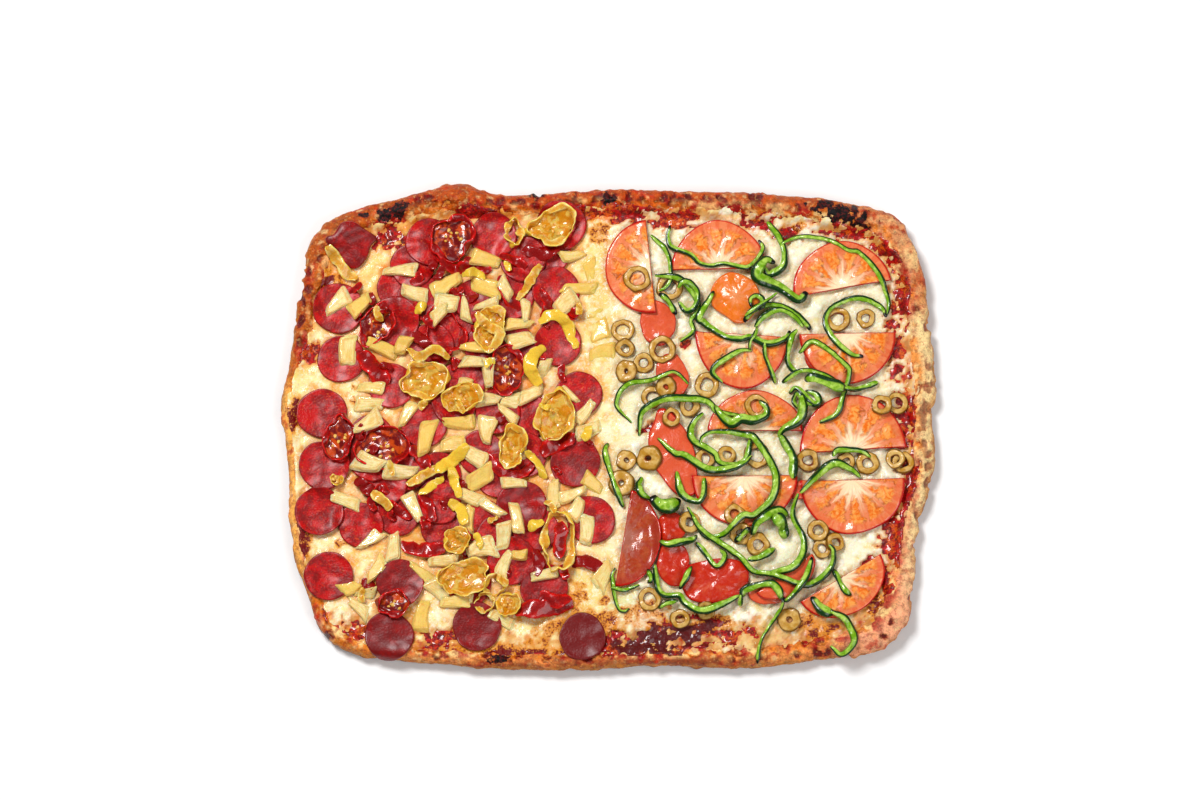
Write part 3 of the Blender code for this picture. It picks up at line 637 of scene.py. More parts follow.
@dataclass(frozen=True)
class Finish:
    """What all finishes share: how much light passes into the food, and how wet it is."""

    name: str
    soak: float = 0.0
    soak_depth: float = 0.002
    coat: float = 0.0
    coat_roughness: float = 0.1

    def look(self, g: Graph) -> Look:
        """The finish's own colour, roughness and relief.

        Args:
            g: the graph to add nodes to.

        Returns:
            The three as wires.
        """
        raise NotImplementedError

    def material(self) -> bpy.types.Material:
        """Builds the material.

        Returns:
            The material with the finish's look, soak and coat.
        """
        made = bpy.data.materials.new(self.name)
        made.use_nodes = True
        made.node_tree.nodes.clear()
        g = Graph(made.node_tree)
        look = self.look(g)
        bump = g.node("ShaderNodeBump", {}, {"Distance": MM, "Height": look.relief})
        shader = g.node("ShaderNodeBsdfPrincipled", {}, {
            "Base Color": look.colour, "Roughness": look.roughness, "Normal": bump,
            "Subsurface Weight": self.soak, "Subsurface Radius": (1, 0.5, 0.25),
            "Subsurface Scale": self.soak_depth, "Coat Weight": self.coat,
            "Coat Roughness": self.coat_roughness, "Specular IOR Level": 0.2})
        g.node("ShaderNodeOutputMaterial", {}, {"Surface": shader})
        return made


@dataclass(frozen=True)
class DoughFinish(Finish):
    """Baked dough, dull and speckled, painted in broad colours that the mesh carries."""

    spots: Colour = (0.64, 0.24, 0.13)
    flecks: Colour = (0.99, 0.78, 0.5)
    char: Colour = (0.1, 0.05, 0.07)
    ember: Colour = (0.38, 0.15, 0.15)

    def look(self, g: Graph) -> Look:
        """The crust's look.

        Args:
            g: the graph to add nodes to.

        Returns:
            Its colour, roughness and relief as wires.
        """
        fine, coarse, grit = g.noise(1.3 * MM, 4), g.noise(4.5 * MM, 3), g.noise(0.7 * MM)
        colour = g.scaled(g.read("tint", "Color"), 1 + 1.4 * (fine - 0.5) + 1.6 * (coarse - 0.5))
        colour = g.mix(g.noise(3.6 * MM, 3).step(0.54, 0.64) * 0.45, colour, self.spots)
        colour = g.mix(g.noise(2.8 * MM, 3).step(0.56, 0.68) * 0.28, colour, self.flecks)
        colour = g.mix(grit.step(0.62, 0.75) * 0.12, colour, self.flecks)
        burnt = g.read("burnt") + 1.4 * (fine - 0.5) + 1.6 * (coarse - 0.5)
        char = g.mix(g.noise(1.9 * MM, 2).step(0.46, 0.6), self.char, self.ember)
        colour = g.mix(burnt.step(0.35, 0.6), colour, char)
        rough = 0.55 - 0.3 * g.read("damp") + 0.4 * (fine - 0.5)
        return Look(colour, rough, 0.55 * fine + 1.3 * coarse + 0.1 * grit)


@dataclass(frozen=True)
class SauceFinish(Finish):
    """Baked tomato sauce, dark red and wet, with orange oil on it."""

    deep: Colour = (0.44, 0.06, 0.07)
    bright: Colour = (0.76, 0.18, 0.12)
    oil: Colour = (0.88, 0.44, 0.2)
    rosy: Colour = (0.76, 0.26, 0.3)
    burnt: Colour = (0.42, 0.08, 0.06)

    def look(self, g: Graph) -> Look:
        """The sauce's look.

        Args:
            g: the graph to add nodes to.

        Returns:
            Its colour, roughness and relief as wires.
        """
        lumps, fine = g.noise(3 * MM, 3, bend=0.5), g.noise(1.2 * MM, 3)
        colour = g.mix(lumps.step(0.35, 0.68), self.deep, self.bright)
        colour = g.mix((g.noise(7 * MM, 3) + 0.6 * (fine - 0.5)).step(0.5, 0.7) * 0.75, colour,
                       self.oil)
        colour = g.mix(g.noise(4 * MM, 2).step(0.6, 0.75) * 0.5, colour, self.rosy)
        colour = g.mix((g.read("burnt") + lumps - 0.5).step(0.35, 0.75), colour, self.burnt)
        colour = g.scaled(colour, 1 + 1.2 * (fine - 0.5))
        return Look(colour, 0.2 + 0.3 * (1 - fine), 0.9 * lumps + 0.5 * fine)


@dataclass(frozen=True)
class CheeseFinish(Finish):
    """Melted cheese, painted in broad colours that the mesh carries, with browned spots."""

    gold: Colour = (0.9, 0.58, 0.22)
    brown: Colour = (0.5, 0.17, 0.07)
    milk: Colour = (1, 1, 0.92)

    def look(self, g: Graph) -> Look:
        """The cheese's look.

        Args:
            g: the graph to add nodes to.

        Returns:
            Its colour, roughness and relief as wires.
        """
        fine, coarse = g.noise(1.3 * MM, 3), g.noise(5 * MM, 3, bend=0.6)
        strings = g.noise(2.6 * MM, 3, bend=1.5)
        colour = g.scaled(g.read("tint", "Color"), 0.94 + 0.1 * fine + 0.1 * coarse)
        milky = (strings - 0.3 * (coarse - 0.5)).step(0.46, 0.66) * (1 - g.read("thin")) * 0.6
        colour = g.mix(milky, colour, self.milk)
        browned = g.read("browned") + 0.9 * (coarse - 0.5) + 0.3 * (fine - 0.5)
        colour = g.mix(browned.step(0.36, 0.78) * 0.9, colour, self.gold)
        colour = g.mix((browned + 0.6 * (fine - 0.5)).step(0.68, 0.95), colour, self.brown)
        return Look(colour, 0.24 + 0.25 * fine, 0.8 * coarse + 0.1 * fine + 0.6 * strings)


@dataclass(frozen=True)
class PepperoniFinish(Finish):
    """Baked pepperoni, red with flecks of fat, under a painted purple sheen in patches."""

    red: Colour = (0.79, 0.23, 0.14)
    deep: Colour = (0.59, 0.11, 0.08)
    dark: Colour = (0.49, 0.11, 0.07)
    fat: Colour = (0.88, 0.42, 0.27)
    painted_sheen: Colour = (0.62, 0.26, 0.28)

    def look(self, g: Graph) -> Look:
        """The pepperoni's look.

        Args:
            g: the graph to add nodes to.

        Returns:
            Its colour, roughness and relief as wires.
        """
        fine, coarse = g.noise(1.1 * MM, 3), g.noise(6 * MM, 3)
        share, dark = g.read("share"), g.read("dark")
        colour = g.mix((coarse + 0.5 * (fine - 0.5)).step(0.35, 0.65), self.red, self.deep)
        flecks = g.noise(1.6 * MM, 2).step(0.6, 0.7) * (0.55 - 0.4 * dark)
        colour = g.mix(flecks, colour, self.fat)
        # Painted sheen: purple where the slice carries it, broken up by fine noise
        colour = g.mix(g.read("painted_sheen") * fine.step(0.35, 0.75) * 0.75, colour, self.painted_sheen)
        edge = (share + 0.1 * (coarse - 0.5)).step(0.9, 0.99) * 0.55
        stain = (dark + 0.7 * (coarse - 0.5)).step(0.1, 0.9)
        colour = g.mix(stain.larger(edge), colour, self.dark)
        rough = 0.26 + 0.3 * (fine - 0.3) + 0.1 * coarse
        return Look(colour, rough, 0.3 * fine + 0.6 * coarse + 0.2 * g.cells(1.5 * MM))


@dataclass(frozen=True)
class TomatoFinish(Finish):
    """Tomato, whose cut face has a pale core, ribs and orange chambers inside a red wall."""

    ribs: float = 6.0
    skin: Colour = (0.8, 0.18, 0.08)
    wall: Colour = (0.93, 0.56, 0.4)
    blush: Colour = (0.89, 0.36, 0.24)
    gel: Colour = (0.98, 0.67, 0.38)
    gel_dark: Colour = (0.93, 0.48, 0.22)
    core: Colour = (1, 0.9, 0.74)
    seed: Colour = (1, 0.86, 0.58)

    def look(self, g: Graph) -> Look:
        """The tomato's look.

        Args:
            g: the graph to add nodes to.

        Returns:
            Its colour, roughness and relief as wires.
        """
        fine, coarse = g.noise(1.2 * MM, 2), g.noise(7 * MM, 3, bend=0.8)
        dial = g.read("dial", "Vector")
        across, up, number = (g.part(dial, k) for k in range(3))
        share = (across * across + up * up) ** 0.5 + 0.16 * (coarse - 0.5)
        angle = up.angle_of(across)
        turn = angle / math.pi * self.ribs + number + 1.1 * (coarse - 0.5)
        rib = abs(turn.fraction() - 0.5) * share.larger(0.12) * 2
        between = rib.step(0.12, 0.34) * share.step(0.2, 0.4) * (1 - share.step(0.77, 0.88))
        rays = g.node("ShaderNodeCombineXYZ", {},
                      {"X": angle * 7, "Y": share * 2.2, "Z": number * 9})
        streaks = g.noise(1, 3, rays, 0.6)
        clouds = g.noise(4.5 * MM, 2, bend=1.6)
        gel = g.mix((clouds + 0.4 * (streaks - 0.5)).step(0.32, 0.68), self.gel, self.gel_dark)
        seeds = (1 - g.cells(5.2 * MM).step(0.12, 0.3)) * between
        gel = g.mix(seeds * 0.25, gel, self.seed)
        flesh = g.mix((share + 1.1 * (streaks - 0.5)).step(0.1, 0.7), self.core, self.wall)
        flesh = g.mix(streaks.step(0.6, 0.42) * share.step(0.6, 0.9) * 0.5, flesh, self.blush)
        face, cut = g.mix(between, flesh, gel), g.read("cut")
        soft = g.mix((coarse + 0.4 * (streaks - 0.5)).step(0.45, 0.8) * 0.25,
                     g.read("tint", "Color"), self.wall)
        colour = g.mix(cut, soft, face)
        colour = g.scaled(colour, 0.88 + 0.1 * fine + 0.14 * coarse)
        edge = (g.read("share") + 0.04 * (fine - 0.5)).step(0.93, 0.975)
        colour = g.mix(edge * g.read("peel"), colour, self.skin)
        return Look(colour, 0.14 + 0.3 * fine,
                    0.25 * streaks + 0.05 * fine + 0.4 * clouds - 0.8 * between * cut)


@dataclass(frozen=True)
class PineappleFinish(Finish):
    """Pineapple, pale yellow with long fibres, a little see-through and browned at its edges."""

    pale: Colour = (1, 0.92, 0.71)
    body: Colour = (0.92, 0.78, 0.5)
    amber: Colour = (0.96, 0.79, 0.4)
    edge: Colour = (0.88, 0.67, 0.37)

    def look(self, g: Graph) -> Look:
        """The pineapple's look.

        Args:
            g: the graph to add nodes to.

        Returns:
            Its colour, roughness and relief as wires.
        """
        fibres = g.node("ShaderNodeVectorMath", {"operation": "MULTIPLY"},
                        {0: g.read("block", "Vector"), 1: (1.2, 6, 3)})
        strands, fine = g.noise(1, 3, fibres), g.noise(1.2 * MM, 2)
        cloud = g.noise(5 * MM, 2)
        colour = g.mix((0.6 * strands + 0.4 * cloud).step(0.36, 0.62), self.body, self.pale)
        colour = g.mix(g.read("ripe"), colour, self.amber)
        rim = (g.read("rim") + 0.7 * (cloud - 0.5)).step(0.74, 1.02) * 0.75
        colour = g.scaled(g.mix(rim, colour, self.edge), 0.88 + 0.22 * fine)
        return Look(colour, 0.16 + 0.25 * fine, 0.16 * strands + 0.5 * cloud + 0.08 * fine)


@dataclass(frozen=True)
class OliveFinish(Finish):
    """Sliced green olive, tan on its cut face and darker at its skin."""

    face: Colour = (0.76, 0.57, 0.29)
    pale: Colour = (0.88, 0.73, 0.46)
    skin: Colour = (0.54, 0.4, 0.12)
    inner: Colour = (0.52, 0.3, 0.13)

    def look(self, g: Graph) -> Look:
        """The olives' look.

        Args:
            g: the graph to add nodes to.

        Returns:
            Its colour, roughness and relief as wires.
        """
        fine, coarse = g.noise(1 * MM, 2), g.noise(5 * MM, 2)
        side = g.read("side") + 0.3 * (coarse - 0.5)
        colour = g.mix(coarse.step(0.35, 0.65), self.face, self.pale)
        colour = g.mix(side.step(0.25, 0.8), colour, self.skin)
        # Painted shade: darker on the inner wall round the hole
        colour = g.mix((0 - side).step(0.45, 0.95), colour, self.inner)
        colour = g.scaled(colour, 0.8 + 0.36 * fine)
        return Look(colour, 0.22 + 0.25 * fine, 0.25 * fine + 0.4 * coarse)


@dataclass(frozen=True)
class PepperFinish(Finish):
    """A pepper's glossy skin on one side, its cut flesh, and its paler inside."""

    skin: Colour = (0.12, 0.32, 0.05)
    flesh: Colour = (0.5, 0.68, 0.18)
    pale: Colour = (0.74, 0.87, 0.42)
    inside: Colour = (0.36, 0.54, 0.11)
    membrane: Colour = (0.66, 0.84, 0.36)
    burnt: Colour = (0.1, 0.06, 0.05)
    skin_from: float = 0.1

    def look(self, g: Graph) -> Look:
        """The pepper's look.

        Args:
            g: the graph to add nodes to.

        Returns:
            Its colour, roughness and relief as wires.
        """
        fine, coarse = g.noise(1 * MM, 2), g.noise(5 * MM, 3, bend=0.8)
        side = g.read("side") * g.read("facing") + 0.35 * (coarse - 0.5)
        # Paler patches over the flesh are painted highlights
        colour = g.mix(coarse.step(0.38, 0.68), self.flesh, self.pale)
        colour = g.mix((0 - side).step(0.6, 1.05) * 0.8, colour, self.inside)
        colour = g.mix(side.step(self.skin_from, self.skin_from + 0.25), colour, self.skin)
        folds = g.noise(6.5 * MM, 2, bend=1)
        inner = g.mix(folds.step(0.44, 0.62), self.inside, self.membrane)
        colour = g.mix(g.read("inner"), colour, inner)
        scorch = (g.read("burn") + 0.5 * (coarse - 0.5)).step(0.45, 0.85)
        colour = g.scaled(g.mix(scorch, colour, self.burnt), 0.8 + 0.34 * fine)
        return Look(colour, 0.16 + 0.25 * fine, 0.2 * fine + 0.5 * coarse)


@dataclass(frozen=True)
class SeedFinish(Finish):
    """Pale pepper seeds."""

    pale: Colour = (0.96, 0.8, 0.48)
    warm: Colour = (0.9, 0.62, 0.28)

    def look(self, g: Graph) -> Look:
        """The seeds' look.

        Args:
            g: the graph to add nodes to.

        Returns:
            Its colour, roughness and relief as wires.
        """
        fine = g.noise(1.5 * MM, 2)
        return Look(g.mix(fine.step(0.3, 0.7), self.pale, self.warm), 0.3 + 0.2 * fine, fine)


@dataclass
class Parts:
    """Points, lines, faces and carried values of one piece, gathered from its parts."""

    points: list[Rows] = field(default_factory=list)
    lines: list[Sequence[int]] = field(default_factory=list)
    faces: list[Sequence[int]] = field(default_factory=list)
    values: dict[str, list[Rows]] = field(default_factory=dict)
    count: int = 0

    def add(self, points: Rows, *faces: Rows, lines: Sequence[Sequence[int]] = (),
            **values: Any) -> "Parts":
        """Adds a part.

        Args:
            points: its vertices.
            faces: arrays of corner numbers, one array for each number of corners.
            lines: pairs of vertex numbers.
            values: for each name one value for the part, or one for each vertex.

        Returns:
            The piece with the part.
        """
        self.points.append(points)
        for part in faces:
            self.faces += (part + self.count).tolist()
        self.lines += [(first + self.count, last + self.count) for first, last in lines]
        for name, value in values.items():
            value = np.asarray(value, dtype=float)
            if value.ndim == 0 or (value.ndim == 1 and len(value) != len(points)):
                value = np.broadcast_to(value, (len(points),) + value.shape)
            self.values.setdefault(name, []).append(value)
        self.count += len(points)
        return self

    def mesh(self, name: str) -> bpy.types.Mesh:
        """Mesh of all the parts.

        Args:
            name: its name.

        Returns:
            The mesh, with the values that its points carry.
        """
        made = bpy.data.meshes.new(name)
        made.from_pydata(np.vstack(self.points).tolist(), self.lines, self.faces)
        for value_name, rows in self.values.items():
            carry(made, value_name, np.concatenate(rows))
        return made

    def make(self, name: str, material: bpy.types.Material) -> Piece:
        """Object of all the parts.

        Args:
            name: its name.
            material: its material.

        Returns:
            The object, shaded smooth, at the origin.
        """
        mesh = self.mesh(name)
        mesh.materials.append(material)
        mesh.shade_smooth()
        return placed(name, mesh)


def placed(name: str, data: Any) -> Piece:
    """Object in the scene that holds a mesh, a light or a camera."""
    made = bpy.data.objects.new(name, data)
    bpy.context.scene.collection.objects.link(made)
    return made


def carry(mesh: bpy.types.Mesh, name: str, values: Rows) -> None:
    """Stores a value for each vertex.

    Args:
        mesh: the mesh.
        name: the values' name, which is tint for colours.
        values: a number for each vertex, or three numbers.
    """
    if values.ndim == 1:
        kind, entry = "FLOAT", "value"
    elif name == "tint":
        kind, entry, values = "FLOAT_COLOR", "color", with_column(values, 1)
    else:
        kind, entry = "FLOAT_VECTOR", "vector"
    mesh.attributes.new(name, kind, "POINT").data.foreach_set(entry, values.ravel())


def places_of(made: Piece) -> Rows:
    """Rows with the place of each vertex."""
    places = np.empty(3 * len(made.data.vertices))
    made.data.vertices.foreach_get("co", places)
    return places.reshape(-1, 3)


def move(made: Piece, places: Rows) -> None:
    """Moves each vertex to its row's place."""
    made.data.vertices.foreach_set("co", places.ravel())
    made.data.update()


def joined(pieces: list[Piece]) -> Piece:
    """The first of some pieces, with the others joined to it."""
    with bpy.context.temp_override(active_object=pieces[0], selected_editable_objects=pieces):
        bpy.ops.object.join()
    return pieces[0]


def roughen(made: Piece, size: float, amount: float, seed: int) -> None:
    """Moves a piece's vertices a little, so that no two of its parts are alike.

    Args:
        made: the piece.
        size: distance over which the moves change.
        amount: how far they go.
        seed: picks them.
    """
    places = places_of(made)
    for axis in range(3):
        places[:, axis] += amount * grain(places, size, seed + axis, 2)
    move(made, places)


def pole_faces(rings: int, count: int) -> list[Rows]:
    """Faces of rings of points between a first and a last pole, all facing outwards.

    Args:
        rings: how many rings there are.
        count: how many points each has.

    Returns:
        The squares, and the triangles at the poles.
    """
    i = np.arange(count)
    j = (i + 1) % count
    first = beside(np.zeros(count, dtype=int), 1 + i, 1 + j)
    base = 1 + (rings - 1) * count
    last = beside(base + i, np.full(count, base + count), base + j)
    quads = [beside(1 + r * count + i, 1 + (r + 1) * count + i,
                    1 + (r + 1) * count + j, 1 + r * count + j) for r in range(rings - 1)]
    return [np.vstack(quads), np.vstack((first, last))]


def paint(tint: Rows, *coats: tuple[Rows, Colour]) -> Rows:
    """Lays coats of colour over each other.

    Args:
        tint: rows of colours to begin with.
        coats: pairs of a mask and the colour that it lays on.

    Returns:
        The new rows of colours.
    """
    for mask, colour in coats:
        tint = tint + (np.array(tone(colour)) - tint) * mask[:, None]
    return tint


class Relief:
    """Height of the top surface in square cells, as the pizza is laid up."""

    cell = 0.8 * MM
    half = np.array((0.24, 0.182))
    steepest = 0.35
    support = 80

    def __init__(self) -> None:
        """An empty map."""
        self.top = np.zeros(tuple(np.round(2 * self.half / self.cell).astype(int)))

    def lay(self, points: Rows) -> None:
        """Raises the map to the points of a piece, and closes the pinholes between them.

        Args:
            points: rows of x, y and z.
        """
        where = np.floor((points[:, :2] + self.half) / self.cell).astype(int)
        where = np.clip(where, 2, np.array(self.top.shape) - 3)
        low, high = where.min(axis=0) - 1, where.max(axis=0) + 2
        patch = np.zeros(tuple(high - low))
        np.maximum.at(patch, tuple((where - low).T), points[:, 2])
        patch = np.where(patch > 0, patch, self._highest(patch, 1))
        view = self.top[low[0]:high[0], low[1]:high[1]]
        np.maximum(view, patch, out=view)

    def bed(self, places: Rows, reach: float = 0, blur: float = 0) -> Rows:
        """Height of what lies below, at plan places.

        Args:
            places: rows of x and y.
            reach: how far round each place the highest point counts.
            blur: how far the result is smoothed.

        Returns:
            One height for each place.
        """
        margin = int((reach + 3 * blur) / self.cell) + 2
        spots = (places + self.half) / self.cell - 0.5
        limit = np.array(self.top.shape)
        low = np.clip(np.floor(spots.min(axis=0)).astype(int) - margin, 0, limit - 2)
        high = np.clip(np.ceil(spots.max(axis=0)).astype(int) + margin + 1, low + 2, limit)
        block = self.top[low[0]:high[0], low[1]:high[1]]
        block = self._highest(block, round(reach / self.cell))
        if blur > 0:
            block = self._soften(len(block), blur) @ block @ self._soften(block.shape[1], blur).T
        spots = np.clip(spots - low, 0, np.array(block.shape) - 1.001)
        i, j = np.floor(spots).astype(int).T
        u, v = (spots - np.floor(spots)).T
        lower = block[i, j] * (1 - u) + block[i + 1, j] * u
        upper = block[i, j + 1] * (1 - u) + block[i + 1, j + 1] * u
        return lower * (1 - v) + upper * v

    @staticmethod
    def _highest(block: Rows, cells: int) -> Rows:
        """Highest value within some cells of each cell."""
        near = np.lib.stride_tricks.sliding_window_view(np.pad(block, cells), (2 * cells + 1,) * 2)
        return near.max(axis=(2, 3))

    def _soften(self, count: int, blur: float) -> Rows:
        """Matrix that smooths a row of cells."""
        steps = np.arange(count)
        weights = np.exp(-0.5 * ((steps[:, None] - steps) * self.cell / blur) ** 2)
        return weights / weights.sum(axis=1, keepdims=True)

    def seat(self, places: Rows, sink: float) -> Rows:
        """Plane that a stiff piece rests on.

        Args:
            places: rows of x and y under the piece.
            sink: how far it sinks in.

        Returns:
            Its level at the middle and its two slopes.
        """
        heights = self.bed(places)
        middle = places.mean(axis=0)
        design = beside(np.ones(len(places)), places - middle)
        plane = np.linalg.lstsq(design, heights, rcond=None)[0]
        plane[1:] = np.clip(plane[1:], -self.steepest, self.steepest)
        gap = heights - design @ plane
        plane[0] += np.percentile(gap, self.support) - sink
        return plane


def stretch(places: Rows, low: Vector, high: Vector) -> None:
    """Stretches places lengthwise and crosswise until they fill a box."""
    for axis in (0, 1):
        part = (places[:, axis] - places[:, axis].min()) / np.ptp(places[:, axis])
        places[:, axis] = low[axis] + part * (high[axis] - low[axis])


def squares(low: Rows, high: Rows, cell: float) -> Rows:
    """Places in a square grid, by column and row."""
    steps = [np.arange(low[axis], high[axis], cell) for axis in (0, 1)]
    return np.stack(np.meshgrid(*steps, indexing="ij"), axis=-1)


class RimEdge:
    """The crust's outer edge, with the rim's width and height along it."""

    def __init__(self, low: Vector, high: Vector, step: float) -> None:
        """Reads the edge from its table and fits it to the crust's box.

        Args:
            low: the box's lowest corner.
            high: its highest corner.
            step: distance between the edge's points.
        """
        rows = np.array(EDGE[::-1], dtype=float)
        edge = smooth_curve(beside(PHOTO.spots(rows[:, :2]), rows[:, 2:] * MM), step, True)
        stretch(edge, low, high)
        ahead = np.roll(edge[:, :2], -1, axis=0) - np.roll(edge[:, :2], 1, axis=0)
        self.place, self.width, self.height = edge[:, :2], edge[:, 2], edge[:, 3]
        self.inward = beside(-ahead[:, 1], ahead[:, 0])
        self.inward /= np.linalg.norm(self.inward, axis=1)[:, None]

    def inset(self, places: Rows) -> tuple[Rows, Rows]:
        """How far in from the edge some places lie.

        Args:
            places: rows of x and y.

        Returns:
            The distance of each, and the rim's width there.
        """
        coarse = np.arange(0, len(self.place), 3)
        depth, width = [], []
        for rows in np.array_split(places, max(1, len(places) // 4000)):
            away = ((rows[:, None] - self.place[coarse][None]) ** 2).sum(axis=2)
            nearest = coarse[away.argmin(axis=1)]
            depth.append(((rows - self.place[nearest]) * self.inward[nearest]).sum(axis=1))
            width.append(self.width[nearest])
        return np.concatenate(depth), np.concatenate(width)


@dataclass
class Bench:
    """What all the classes share: the edge, the map of heights and the frame's node names."""

    edge: RimEdge
    relief: Relief
    nodes: list[str]
    calm: float = 22.0 * MM
    room: float = 5.8 * MM

    def hand_over(self, piece: Piece, slot: str, nodes: str = "") -> None:
        """Hangs a finished piece on the body, with what stands above the calm level pressed down.

        Args:
            piece: the object.
            slot: name of a material slot; not used.
            nodes: start of the names of the nodes that it stands for.
        """
        places = places_of(piece)
        above = np.maximum(places[:, 2] - self.calm, 0)
        places[:, 2] += self.room * np.tanh(above / self.room) - above
        move(piece, places)
        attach(piece, BODY)
        if nodes:
            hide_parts(*[name for name in self.nodes if name.startswith(nodes)])
        piece.data.calc_loop_triangles()
        LOG.info("%s: %d triangles, up to %.1f mm", piece.name, len(piece.data.loop_triangles),
                 places[:, 2].max() / MM)


@dataclass
class Crust:
    """The dough with its raised, blistered rim round a flat floor."""

    bench: Bench
    finish: DoughFinish = DoughFinish("baked dough")
    floor: float = 9.0 * MM
    rings: int = 50
    section: tuple[tuple[float, float], ...] = (
        (0.24, 0), (0.06, 0.17), (0, 0.44), (0.07, 0.74), (0.28, 0.95), (0.55, 1))
    slope_top: float = 0.82
    slope_rise: float = 0.62
    floor_ring: float = 12.0 * MM
    under_ring: float = 10.0 * MM

    def _rim(self) -> tuple[Rows, Rows]:
        """Section of the rim, from the foot of its inner slope out.

        Returns:
            Inset and height of each ring at each station.
        """
        edge = self.bench.edge
        insets = [edge.width * share for share, _ in self.section]
        heights = [edge.height * rise for _, rise in self.section]
        insets += [edge.width * self.slope_top, edge.width]
        heights += [self.floor + self.slope_rise * (edge.height - self.floor),
                    np.full(len(edge.width), self.floor)]
        knots = np.arange(len(insets), dtype=float)[:, None]
        marks = beside(knots, np.zeros(len(knots)), np.eye(len(insets)))
        weights = smooth_curve(marks, (len(insets) - 1) / (self.rings - 1), False)[::-1, 2:]
        return weights @ np.array(insets), weights @ np.array(heights)

    def build(self) -> None:
        """Builds the crust and lays it on the empty map."""
        edge = self.bench.edge
        inset, height = self._rim()
        rings = np.stack([beside(edge.place + edge.inward * inset[k][:, None], height[k])
                          for k in range(len(inset))])
        across, along = np.gradient(rings, axis=0), np.gradient(rings, axis=1)
        along[:, 0] = along[:, -1] = rings[:, 1] - rings[:, -2]
        normal = np.cross(across, along).reshape(-1, 3)
        normal /= np.linalg.norm(normal, axis=1)[:, None] + 1e-12
        flat = rings.reshape(-1, 3)
        share = np.repeat(np.linspace(0, 1, len(rings)), rings.shape[1])
        free = ramp(share, 0, 0.12) * (1 - ramp(share, 0.9, 1))
        seen = PHOTO.seen(flat)
        pits = blots(seen, self._pits(), 0.4, 0.45, 3, 4)
        bump = 0.9 * grain(flat, 26 * MM, 11) + 0.9 * grain(flat, 11 * MM, 12, 2)
        bump += 0.9 * ramp(grain(flat, 7 * MM, 15), 0.25, 0.75) - 1.6 * pits
        bump += 0.6 * grain(flat, 4 * MM, 16, 2)
        bump += blots(seen, ((800, 215, 14, 8, 20), (460, 192, 20, 8, 10)), 0.6, 0.2, 4)
        flat = flat + normal * (free * bump * MM)[:, None]
        stretch(flat, *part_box("crust"))
        flat[:, 2] = np.maximum(flat[:, 2], 0)
        self._mesh(flat, pits)

    @staticmethod
    def _pits() -> list[tuple[float, ...]]:
        """Blisters seen in the photograph, and more of them in the same bands of the rim.

        Returns:
            Rows of photo x, photo y, half sizes in pixels and turn.
        """
        rng = np.random.default_rng(5)
        places = list(PITS)
        for axis, start, end, level, least, most, count in PIT_BANDS:
            for along in rng.uniform(start, end, count):
                place = (along, level + rng.uniform(least, most))
                places.append(place if axis == "x" else place[::-1])
        return [(x, y, rng.uniform(2.2, 5), rng.uniform(3, 6.2), rng.uniform(-40, 40))
                for x, y in places]

    def _mesh(self, flat: Rows, pits: Rows) -> None:
        """Closes the crust over its floor and underside, and paints it.

        Args:
            flat: points of the rim, ring by ring.
            pits: how much each lies in a blister.
        """
        edge = self.bench.edge
        stations = len(edge.place)
        inner, under = (
            with_column(edge.place + edge.inward * (edge.width + way_in)[:, None], level)
            for way_in, level in ((self.floor_ring, self.floor), (self.under_ring, 0)))
        points = np.vstack(((0, 0, self.floor), inner, flat, under, (0, 0, 0)))
        seen, rings = PHOTO.seen(points), len(flat) // stations + 2
        tint, burnt, damp = self._paint(points, seen, np.pad(pits, stations + 1))
        parts = Parts().add(points, *pole_faces(rings, stations), tint=tint, burnt=burnt, damp=damp)
        relief = self.bench.relief
        relief.lay(points[1:-1])
        places = squares(-relief.half, relief.half, relief.cell).reshape(-1, 2) + relief.cell / 2
        inset, width = edge.inset(places)
        relief.lay(with_column(places[inset > width], self.floor))
        self.bench.hand_over(parts.make("crust_dressed", self.finish.material()), "crust", "crust")

    def _paint(self, points: Rows, seen: Rows, pits: Rows) -> tuple[Rows, Rows, Rows]:
        """Colours the crust.

        Args:
            points: its vertices.
            seen: where they show in the photograph.
            pits: how much each lies in a blister.

        Returns:
            Rows of colours, and how burnt and how damp each point is.
        """
        x, y = seen.T
        broad, middle = grain(points, 22 * MM, 21, 2), grain(points, 6 * MM, 22, 3)
        right = ramp(x, 890, 915) * ramp(y, 290, 330) * (1 - ramp(y, 560, 620))
        corner = blots(seen, ((900, 250, 34, 50, 30),), 0.5, 0.3, 23)
        lower = blots(seen, ((892, 632, 60, 50, 30), (912, 585, 26, 70, 0)), 0.5, 0.3, 24)
        top = (1 - ramp(y, 208, 222)) * ramp(x, 395, 440) * (1 - ramp(x, 800, 860))
        left = (1 - ramp(x, 296, 318)) * ramp(y, 370, 400) * (1 - ramp(y, 590, 625))
        knob = blots(seen, ((352, 222, 96, 30, 22), (308, 262, 24, 60, 10), (303, 320, 16, 60, 0)),
                     0.5, 0.3, 25)
        foot = ramp(y, 640, 652) * ramp(x, 350, 420) * (1 - lower)
        depth, width = self.bench.edge.inset(points[:, :2])
        side = (1 - ramp(depth / width, 0.1, 0.35)) * (
            1 - ramp(points[:, 2] + 3 * MM * middle, 8 * MM, 15 * MM))
        pits = pits * (1 - side)
        burns = blots(seen, BURNS, 0.6, 0.9, 26, 5) * (1 - side)
        brown = blots(seen, ((655, 666, 95, 11, 0), (500, 670, 60, 6, 0)), 0.5, 0.5, 29)
        smears = blots(seen, SAUCE_SHOWS, 0.8, 0.8, 28, 5) * (1 - side)
        slope = ramp(depth / width, 0.35, 0.7)
        dull = 1 - np.maximum(0.6 * knob, 0.5 * top)
